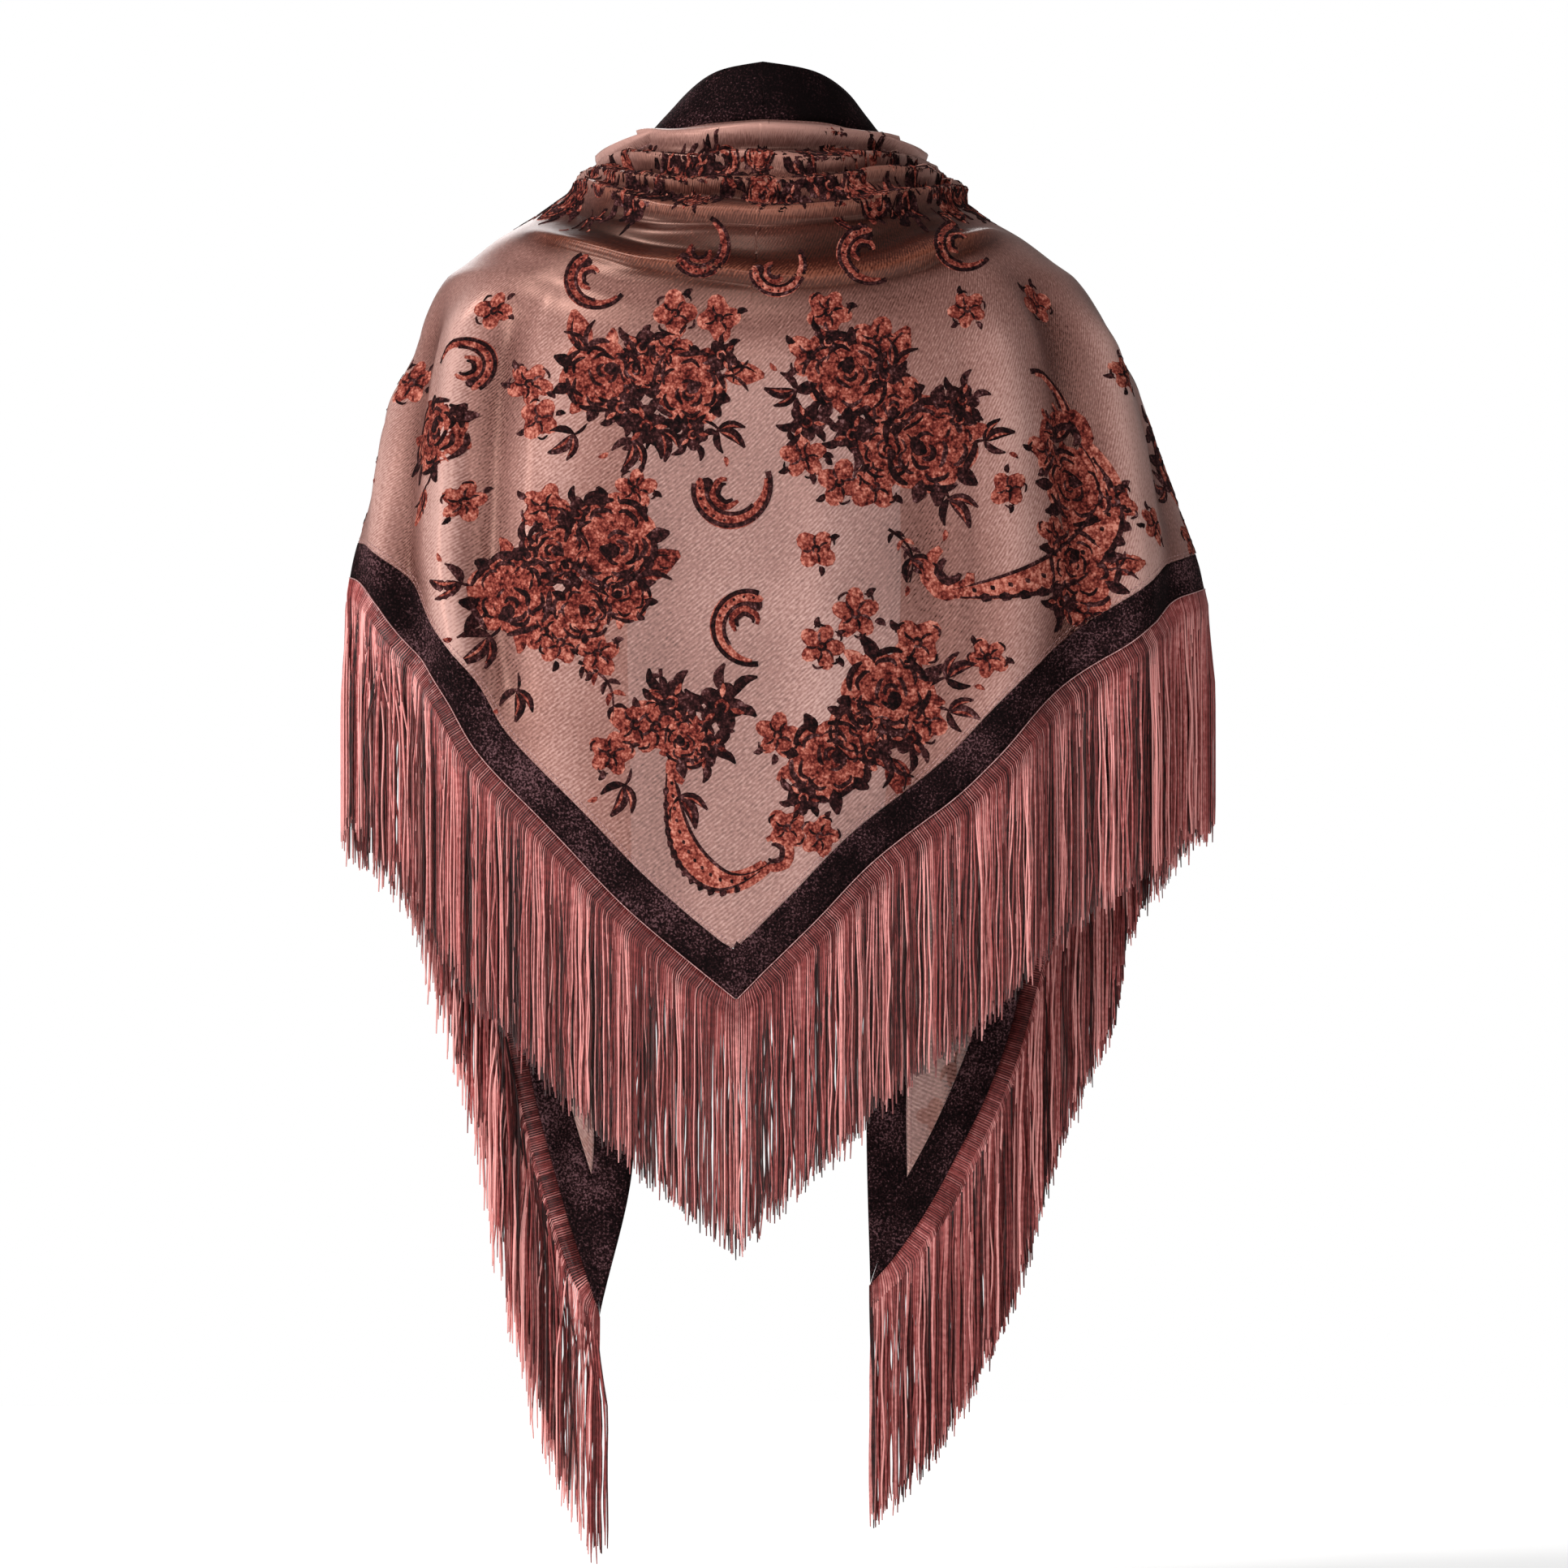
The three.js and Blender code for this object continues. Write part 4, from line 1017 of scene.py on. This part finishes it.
class Pen:
    """Draws a motif at one place on the cloth, turned, with lengths as shares of its size."""

    def __init__(self, lay, place, turn, size, seed):
        self.lay, self.place, self.size = lay, place, size
        cos, sin = ray(math.radians(turn))
        self.turned = np.array([[cos, sin], [-sin, cos]])
        self.random = np.random.default_rng(seed)

    def put(self, drawing, flat, heights, faces, tone, level):
        drawing.add(self.lay(flat @ self.turned, *self.place), heights, faces, tone, level)

    def around(self, count, wobble, first=0.0):
        """Numbers, angles and rays spread round the centre, each angle a little off."""
        for k in range(count):
            angle = first + 2 * math.pi * k / count + self.random.uniform(-wobble, wobble)
            yield k, angle, ray(angle)

    def ribbon(self, drawing, path, widths, level=0.05):
        """A raised ribbon along a path, domed across."""
        path, widths = path * self.size, np.broadcast_to(widths, len(path)) * self.size
        tangent = unit(np.gradient(path, axis=0) + 1e-9)
        side = np.stack([-tangent[:, 1], tangent[:, 0]], 1)
        wide = widths.max() > WIDE
        columns = (-1, -0.6, 0, 0.6, 1) if wide else (-1, 0, 1)
        crest = PILE if wide else PILE * 0.8
        heights = [crest * (1 - abs(c) ** 3) for c in columns]
        grid = path[:, None] + side[:, None] * (widths[:, None] / 2 * np.array(columns))[..., None]
        tone = self.random.uniform(0.2, 0.7)
        flat = grid.reshape(-1, 2)
        self.put(drawing, flat, heights * len(path), quads(numbers(grid)), tone, level)

    def arc(self, drawing, centre, radius, start, end, width, level=0.05, steps=8):
        """An arc that swells in the middle."""
        t = np.linspace(0, 1, steps)
        angle = start + (end - start) * t
        reach = radius * (1 + 0.05 * np.sin(angle * 5 + centre[0] * self.size))
        swell = np.sqrt(np.sin(math.pi * (0.06 + 0.88 * t)))
        self.ribbon(drawing, centre + reach[:, None] * ray(angle), width * swell, level)

    def lobe(self, drawing, start, end, width, bend=0.0, level=0.05, steps=6):
        """A lens or petal from one point to another."""
        t = np.linspace(0, 1, steps)
        reach = np.subtract(end, start)
        across = np.array([-reach[1], reach[0]]) * bend
        path = start + reach * t[:, None] + across * np.sin(math.pi * t)[:, None]
        self.ribbon(drawing, path, width * np.sin(math.pi * (0.05 + 0.88 * t**0.8)), level)

    def bloom(self, drawing, reach, petals, notch):
        """A filled round with petals at its rim, lighter towards the edge of each petal."""
        count = max(20, petals * 6)
        angle = np.arange(count) * 2 * math.pi / count
        turned = petals * angle / 2 + self.random.uniform(0, 6.28)
        petal = np.abs(np.sin(turned))
        rim = reach * self.size * (1 - notch * (1 - petal) + 0.05 * np.sin(angle * 2 + turned[0]))
        edge = ray(angle) * rim[:, None]
        flat = np.vstack([edge * r for r in BLOOM_RINGS] + [np.zeros((1, 2))])
        heights = [h for r in BLOOM_RINGS for h in [PILE * (1 - r**6)] * count] + [PILE]
        swell = 0.25 + 0.5 * petal
        tones = np.append(np.concatenate([swell * (0.5 + 0.5 * r) for r in BLOOM_RINGS]), 0.3)
        number = closed(np.arange(len(BLOOM_RINGS) * count).reshape(-1, count))
        middle, no_point = np.full(count, len(flat) - 1), np.full(count, -1)
        centre = np.stack([middle, number[0, :-1], number[0, 1:], no_point], 1)
        self.put(drawing, flat, heights, np.vstack([centre, quads(number)]), tones, 0.05)


rust, dark = Drawing(), Drawing()


def rose(pen):
    """A full rose: rounds of petals outlined in dark, a dark heart off centre, and dark sepals."""
    r = pen.random
    heart = np.array([r.uniform(-0.2, 0.2), r.uniform(-0.15, 0.2)])
    for k, _, out in pen.around(9, 0.25):
        tip = out * r.uniform(1.08, 1.34)
        pen.lobe(dark if k % 4 else rust, out * 0.7, tip, 0.34, r.uniform(-0.2, 0.2), 0)
    pen.bloom(rust, 1, 6, 0.16)
    first = r.uniform(0, 6.28)
    for _, a, out in pen.around(6, 0.2, first):
        pen.arc(dark, MIDDLE, r.uniform(0.84, 0.97), a - 0.46, a + 0.36, 0.15, 0.45, 9)
        pen.arc(dark, out * 0.44, 0.27, a - 1.2, a + 0.9, 0.11, 0.5, 9)
    for _, a, _ in pen.around(3, 0.3, first):
        pen.arc(dark, heart, r.uniform(0.30, 0.38), a - 0.8, a + 0.7, 0.13, 0.5, 9)
    pen.lobe(dark, heart, heart + (0.1, -0.40), 0.36, 0.15, 0.5, 7)
    pen.arc(dark, heart, 0.14, 0.4, 3.9, 0.14, 0.5, 8)


def flower(pen):
    """A small flower of rounded petals with dark lines and a dark eye."""
    r = pen.random
    petals = int(r.integers(4, 6))
    pen.bloom(rust, 1, petals, 0.42)
    for _, a, out in pen.around(petals, 0.3):
        if r.uniform() < 0.5:
            pen.lobe(dark, out * 0.8, out * 1.25, 0.3, 0.2, 0)
        pen.lobe(dark, out * 0.18, out * 0.62, 0.15, 0.15, 0.5)
        if r.uniform() < 0.6:
            pen.arc(dark, out * 0.62, 0.30, a - 0.9, a + 0.9, 0.11, 0.45)
    pen.arc(dark, MIDDLE, 0.15, 0, 5.4, 0.2, 0.5, 8)


def bud(pen):
    """A half open bud in its dark cup."""
    pen.lobe(rust, (0, -0.6), (0, 1), 0.95, 0.05, 0.05, 8)
    pen.lobe(dark, (-0.15, -0.5), (-0.1, 0.7), 0.14, 0.2, 0.4, 7)
    for sign in (-1, 1):
        pen.lobe(dark, (0, -0.8), (0.62 * sign, 0.35), 0.26, 0.2 * sign, 0.3)
    pen.lobe(dark, (0, -1.3), (0, -0.7), 0.16, 0.1, 0.1)


def dark_flower(pen):
    """A dense small flower of dark pile with rust glints, and dark leaves round it."""
    pen.bloom(dark, 0.8, 5, 0.35)
    for k, _, out in pen.around(6, 0.3):
        pen.lobe(dark, out * 0.5, out * pen.random.uniform(1.0, 1.5), 0.36, 0.2)
        if k % 2:
            pen.lobe(rust, out * 0.3, out * 0.75, 0.2, 0, 0.5)
    pen.arc(rust, MIDDLE, 0.2, 0.4, 4.8, 0.14, 0.5, 8)


def leaf(pen):
    """A leaf on its stem, with side blades and small buds; its own direction is +X."""
    pen.lobe(dark, MIDDLE, (1, 0.1), 0.36, 0.12, 0.05, 7)
    pen.lobe(dark, MIDDLE, (0.62, 0.58), 0.26, 0.14)
    pen.lobe(dark, MIDDLE, (0.6, -0.46), 0.24, -0.14)
    pen.lobe(rust, (0.15, 0), (0.8, 0.08), 0.10, 0.12, 0.45)
    pen.lobe(rust, (0.1, 0.1), (0.52, 0.48), 0.08, 0.14, 0.45)
    pen.lobe(dark, (-0.5, -0.08), (0.1, 0), 0.11, 0.1)
    pen.lobe(rust, (0.7, -0.5), (0.95, -0.7), 0.16, 0.1, 0.05, 5)


def spiral(start, end, inner, outer, steps):
    t = np.linspace(0, 1, steps)
    return ray(start + (end - start) * t) * (inner + (outer - inner) * t**0.8)[:, None]


def scroll(pen):
    """A curled scroll: a rust arm with dark edges that thickens to its end, and a curl inside."""
    path = spiral(-0.9, 2.75, 0.66, 0.96, 22)
    swell = np.sin(math.pi * (0.06 + 0.80 * (1 - np.linspace(0, 1, 22))))
    pen.ribbon(rust, path, 0.42 * swell + THIN / pen.size)
    pen.ribbon(dark, spiral(-0.7, 2.9, 0.84, 1.04, 22), 0.15, 0.35)
    pen.ribbon(dark, spiral(-0.9, 1.9, 0.48, 0.76, 18), 0.12, 0.35)
    pen.arc(rust, (0.12, 0.10), 0.34, -2.2, 1.9, 0.20, 0.1, 12)
    pen.arc(dark, (0.12, 0.10), 0.22, -2.1, 1.7, 0.14, 0.35, 11)
    for k in range(2, 12, 2):
        pen.lobe(dark, path[k] * 0.96, path[k] * 1.06, 0.12, 0, 0.45, 4)
    pen.lobe(dark, path[0], path[0] + (0.05, 0.34), 0.26, 0.2, 0.3)


def sweep(pen):
    """A long scroll that bulges to its right and curls in at its end, with a serrated dark edge."""
    mm = 1 / pen.size
    t = np.linspace(0, 1, 30)
    turned = (np.clip(t - 0.72, 0, 1) / 0.28) ** 2
    path = np.stack([t * (1 - 0.12 * turned), 0.16 * turned - 0.26 * np.sin(math.pi * t * 0.9)], 1)
    width = 0.17 * np.sin(math.pi * (0.08 + 0.74 * t)) + THIN * mm
    edge = np.stack([0 * t, width / 2], 1)
    pen.ribbon(rust, path, width)
    pen.ribbon(dark, path - edge, width * 0.14 + 0.6 * mm, 0.35)
    pen.ribbon(dark, path + edge, width * 0.10 + 0.5 * mm, 0.35)
    for k in range(2, 27, 2):
        foot = path[k] - edge[k] * 0.8
        pen.lobe(dark, foot, foot + (0.03, -0.05), 0.055, 0.1, 0.1, 4)
        spot = path[k] + (0, mm)
        pen.lobe(dark, spot - (1.5 * mm, 0), spot + (1.8 * mm, 0), 0.032, 0, 0.45, 4)
    end = path[-1] + (-0.03, 0.10)
    pen.arc(rust, end, 0.10, -1.6, 3.0, 0.07, 0.1, 12)
    pen.arc(dark, end, 0.055, -1.5, 2.8, 0.04, 0.35, 11)
    pen.arc(rust, (0.05, 0.10), 0.10, 1.2, 5.4, 0.08, 0.1, 12)
    pen.arc(dark, (0.05, 0.10), 0.05, 1.2, 5.2, 0.045, 0.35, 10)


def spray(pen):
    """A bent stem with small leaves on both sides."""
    t = np.linspace(0, 1, 12)
    path = np.stack([t, 0.22 * np.sin(math.pi * t)], 1)
    pen.ribbon(dark, path, 0.05 * (1.2 - t * 0.7))
    for k in range(1, 6):
        foot = path[2 * k - 1]
        for sign in (1, -1):
            end = foot + (0.14, 0.15 * sign)
            pen.lobe(dark if k % 2 else rust, foot, end, 0.085, 0.12 * sign, 0.08, 5)


def paisley(pen):
    """A bent drop: dark outline, rust inner edge and a small flower inside."""
    angle = 2 * math.pi * np.linspace(0, 1, 26)
    path = np.stack([0.95 * np.cos(angle) + 0.1, 0.62 * np.sin(angle) * np.sin(angle / 2) ** 1.3], 1)
    path[:, 1] += 0.22 * path[:, 0] ** 2
    middle = np.array([-0.1, 0.05])
    pen.ribbon(dark, path, 0.10)
    pen.ribbon(rust, middle + (path - middle) * 0.78, 0.11)
    pen.arc(dark, middle - (0.15, 0), 0.2, 0, 5.6, 0.1, 0.1, 10)
    pen.arc(rust, middle - (0.15, 0), 0.09, 0, 5.6, 0.09, 0.1, 8)


# How each kind is drawn, and how much larger than its size in the tables
MOTIFS = {
    "rose": (rose, 1.24), "flower": (flower, 1.45), "bud": (bud, 1.4), "dark": (dark_flower, 1.35),
    "leaf": (leaf, 1.5), "scroll": (scroll, 1.65), "sweep": (sweep, 1.0), "spray": (spray, 1.0),
    "paisley": (paisley, 1.1),
}

# Motifs on the back as seen from behind: x, z, size and turn of each
SEEN = {
    "rose": [
        (-119, -131, 24), (-54, -140, 23), (61, -131, 25), (123, -181, 30), (-111, -253, 29),
        (-184, -290, 27), (92, -362, 27), (48, -412, 25), (234, -210, 24), (237, -270, 23),
        (-240, -174, 23), (-131, -303, 18), (-101, -292, 16), (96, -150, 19),
        (90, -186, 17), (-150, -258, 20), (70, -390, 19), (-88, -126, 15), (-54, -398, 17),
    ],
    "flower": [
        (-64, -85, 12), (-32, -89, 12), (-171, -136, 12), (-164, -162, 11), (48, -84, 12),
        (56, -209, 12), (82, -212, 13), (-160, -227, 13), (-148, -326, 12), (-121, -334, 12),
        (-93, -214, 11), (-93, -386, 14), (-111, -407, 12), (68, -305, 13), (43, -329, 12),
        (113, -326, 14), (11, -394, 12), (18, -462, 11), (42, -468, 11), (-198, -81, 10),
        (150, -81, 10), (207, -72, 10), (180, -213, 10), (285, -240, 10), (39, -258, 11),
        (165, -337, 11), (261, -129, 10), (210, -186, 12), (258, -222, 12), (216, -246, 11),
        (243, -306, 13), (-264, -132, 12), (-219, -222, 11), (-78, -388, 15), (36, -116, 13),
        (84, -104, 13), (30, -190, 12), (120, -384, 12), (-160, -318, 12), (-68, -112, 12),
    ],
    "bud": [
        (-132, -100, 14, 20), (100, -113, 14, -20), (-80, -272, 16, -60), (-17, -131, 13, -90),
        (97, -422, 14, 200), (264, -270, 12, -80), (-252, -222, 12, 160),
    ],
    "dark": [
        (-85, -168, 15), (-30, -116, 11), (66, -174, 14), (48, -106, 11), (146, -148, 12),
        (-172, -262, 13), (-136, -232, 12), (108, -396, 13), (30, -440, 12), (222, -296, 13),
        (-103, -154, 14), (-88, -110, 13), (89, -131, 13), (32, -165, 13), (-67, -370, 16),
        (-30, -373, 17), (-43, -404, 14), (79, -407, 14), (-51, -174, 11), (144, -162, 12),
        (-144, -270, 12), (72, -384, 12),
    ],
    "leaf": [
        (-33, -170, 16, -40), (-93, -178, 17, -120), (-138, -173, 16, -150), (-74, -170, 16, -90),
        (25, -142, 16, 170), (136, -220, 18, -60), (162, -178, 16, 10), (-202, -321, 19, -140),
        (-220, -282, 17, 170), (-101, -430, 17, -120), (-61, -438, 18, -70), (134, -352, 17, 20),
        (136, -376, 16, -20), (-180, -360, 16, -100), (108, -264, 16, -60),
    ],
    "scroll": [
        (-25, -212, 18, 215), (-9, -313, 17, 115), (210, -153, 16, 300), (-123, -57, 14, 160),
        (9, -51, 13, 230), (-48, -36, 14, 260), (78, -39, 14, 135), (147, -30, 13, 160),
        (-219, -126, 14, 0), (198, -366, 13, 10),
    ],
    "spray": [(92, -243, 42, -68), (-75, -345, 50, -120), (-135, -340, 50, -60)],
    "sweep": [(-68, -420, 112, -50), (142, -290, 162, 43)],
}

# Motifs round the arms and down the front: turn, z, size and turn of each
ROUND = {
    "rose": [
        (-100, -190, 24), (-122, -270, 24), (-140, -400, 24), (-150, -560, 22), (-138, -200, 22),
        (100, -200, 24), (120, -280, 24), (138, -420, 24), (152, -600, 20), (140, -180, 22),
    ],
    "flower": [
        (-92, -240, 12), (-110, -150, 12), (-112, -230, 12), (-130, -160, 11), (-128, -330, 12),
        (-146, -300, 12), (-152, -450, 12), (-142, -480, 11), (-150, -640, 11), (-155, -700, 10),
        (92, -250, 12), (110, -160, 12), (112, -240, 12), (130, -150, 11), (128, -340, 12),
        (146, -300, 12), (150, -480, 12), (142, -500, 11), (157, -680, 10), (150, -240, 12),
        (-150, -180, 12),
    ],
    "bud": [(-104, -260, 14, 30), (-134, -240, 14, -40), (106, -260, 14, 10), (132, -230, 14, 60)],
    "dark": [
        (-96, -160, 14), (-118, -200, 14), (-132, -300, 14), (-148, -360, 14), (-148, -520, 12),
        (96, -170, 14), (118, -210, 14), (134, -310, 14), (146, -380, 14), (152, -540, 12),
    ],
    "leaf": [
        (-88, -200, 16, 20), (-124, -230, 16, -60), (-140, -340, 16, 100), (-153, -600, 14, -80),
        (88, -210, 16, 160), (124, -240, 16, -120), (140, -350, 16, 80), (154, -640, 14, -90),
    ],
    "scroll": [
        (-106, -120, 16, 60), (-118, -330, 15, 150), (-143, -130, 15, 10), (-154, -400, 15, 70),
        (106, -130, 16, 120), (116, -320, 15, 30), (143, -120, 15, 170), (154, -420, 15, 110),
        (-154, -240, 14, 200), (154, -200, 14, 300),
    ],
    "spray": [(-148, -440, 60, -80), (148, -440, 60, -95)],
    "paisley": [(-128, -215, 28, 80), (128, -190, 28, 70)],
}

SEEN_HALF = 196  # mm from the middle where the cloth turns away, and motifs are laid round the arm
STEEPEST = 0.98  # the sine of the turn where the outermost of them lie

# Small dense motifs in the gathered folds round the neck: height, step in turn and size of each row
COWL_ROWS = ((32, 13, 12), (20, 12, 14), (7, 11, 14), (-5, 15, 12))
COWL_HALF = 118
COWL_KINDS = ("dark", "rose", "dark", "leaf", "dark", "scroll", "rose", "dark")
OWN_TURN = 47  # turn from one motif to the next where none is given


def seen_place(x, z):
    """How and where a motif seen from behind is laid."""
    if abs(x) <= SEEN_HALF:
        return lay_seen, (x, z)
    half = float(body_left(z) if x < 0 else body_right(z))
    return lay_round, (math.degrees(math.asin(np.clip(x / half, -STEEPEST, STEEPEST))), z)


def draw_motifs():
    placed = [(kind, *seen_place(*row[:2]), row[2:]) for kind, rows in SEEN.items() for row in rows]
    placed += [(kind, lay_round, row[:2], row[2:]) for kind, rows in ROUND.items() for row in rows]
    for seed, (kind, lay, place, (size, *turn)) in enumerate(placed, 101):
        draw, growth = MOTIFS[kind]
        draw(Pen(lay, place, turn[0] if turn else seed * OWN_TURN, size * growth, seed))
    random = np.random.default_rng(5)
    for z, step, size in COWL_ROWS:
        for turn in np.arange(-COWL_HALF, COWL_HALF + 1, step):
            seed += 1
            kind = COWL_KINDS[random.integers(len(COWL_KINDS))]
            place = (turn + random.uniform(-7, 7), z + random.uniform(-6, 6))
            own_size = size * random.uniform(0.8, 1.25)
            MOTIFS[kind][0](Pen(lay_round, place, seed * OWN_TURN, own_size, seed))


draw_motifs()
rust_piece = rust.piece("motifs_rust", RUST)
dark_piece = dark.piece("motifs_dark", DARK)


# Floor, light and camera, in metres
FLOOR_HEIGHT = -1.06
FLOOR_RADIUS = 3
FLOOR_CORNERS = 64
FLOOR_GLOW = 0.45
SURROUND = 0.17  # strength of the white surroundings on the cloth
WARM, WHITE = (1, 0.985, 0.97), (1, 1, 1)
# Area lights: name, place, height aimed at, size, power and colour
LIGHTS = (
    ("key", (-2.6, -2.4, 2.9), -0.3, 0.9, 155, WARM),
    ("side", (-3.4, -2.0, -0.1), -0.4, 0.7, 60, WARM),
    ("front", (-0.4, -4.4, 0.6), -0.4, 1.2, 38, WHITE),
    ("fill", (3.2, -2.2, 0.4), -0.4, 1.8, 12, WHITE),
    ("behind", (-0.6, 3.6, 1.6), -0.4, 1.8, 40, WHITE),
)


def floor():
    mesh = bpy.data.meshes.new("floor")
    rim = ray(np.arange(FLOOR_CORNERS) * 2 * math.pi / FLOOR_CORNERS) * FLOOR_RADIUS
    corners = [(x, y, FLOOR_HEIGHT) for x, y in rim.tolist()]
    mesh.from_pydata(corners, [], [list(range(FLOOR_CORNERS))])
    look = Looks("pale_floor", 0.8)
    soft = look.noise(look.solid_place(), 6.0)
    look.shade("Base Color", look.ramp(soft, stops((0.3, 250, 250, 250), (0.7, 255, 255, 255))))
    look.shade("Emission Color", (1, 1, 1, 1))
    look.shade("Emission Strength", FLOOR_GLOW)
    mesh.materials.append(look.material)
    plane = bpy.data.objects.new("floor", mesh)
    bpy.context.scene.collection.objects.link(plane)


def area_light(name, place, aim, size, power, colour):
    data = bpy.data.lights.new(name, "AREA")
    data.size, data.energy, data.color = size, power, colour
    lamp = bpy.data.objects.new(name, data)
    lamp.location = place
    lamp.rotation_euler = (Vector((0, 0, aim)) - Vector(place)).to_track_quat("-Z", "Y").to_euler()
    bpy.context.scene.collection.objects.link(lamp)


def surroundings():
    """Even pale surroundings, white behind the object."""
    world = bpy.data.worlds.new("surroundings")
    world.use_nodes = True
    nodes, links = world.node_tree.nodes, world.node_tree.links
    shader = nodes["Background"]
    shader.inputs["Color"].default_value = (1, 1, 1, 1)
    seen = nodes.new("ShaderNodeLightPath")
    strength = nodes.new("ShaderNodeMapRange")
    strength.inputs["To Min"].default_value = SURROUND
    links.new(seen.outputs["Is Camera Ray"], strength.inputs["Value"])
    links.new(strength.outputs["Result"], shader.inputs["Strength"])
    bpy.context.scene.world = world


def camera():
    middle = PHOTO_SIDE / 2
    across, up = middle - PHOTO_ORIGIN[0], PHOTO_ORIGIN[1] - middle
    data = bpy.data.cameras.new("camera")
    data.sensor_width = SENSOR
    data.lens = SENSOR * CAMERA_AWAY / (PHOTO_SIDE * PHOTO_SCALE)
    data.clip_end = 100
    eye = bpy.data.objects.new("camera", data)
    eye.location = np.array([across * PHOTO_SCALE, -CAMERA_AWAY - EYE_BACK, up * PHOTO_SCALE]) * MM
    eye.rotation_euler = (math.pi / 2, 0, 0)
    bpy.context.scene.collection.objects.link(eye)
    bpy.context.scene.camera = eye


floor()
surroundings()
for light in LIGHTS:
    area_light(*light)
camera()
bpy.context.scene.view_settings.view_transform = "Standard"
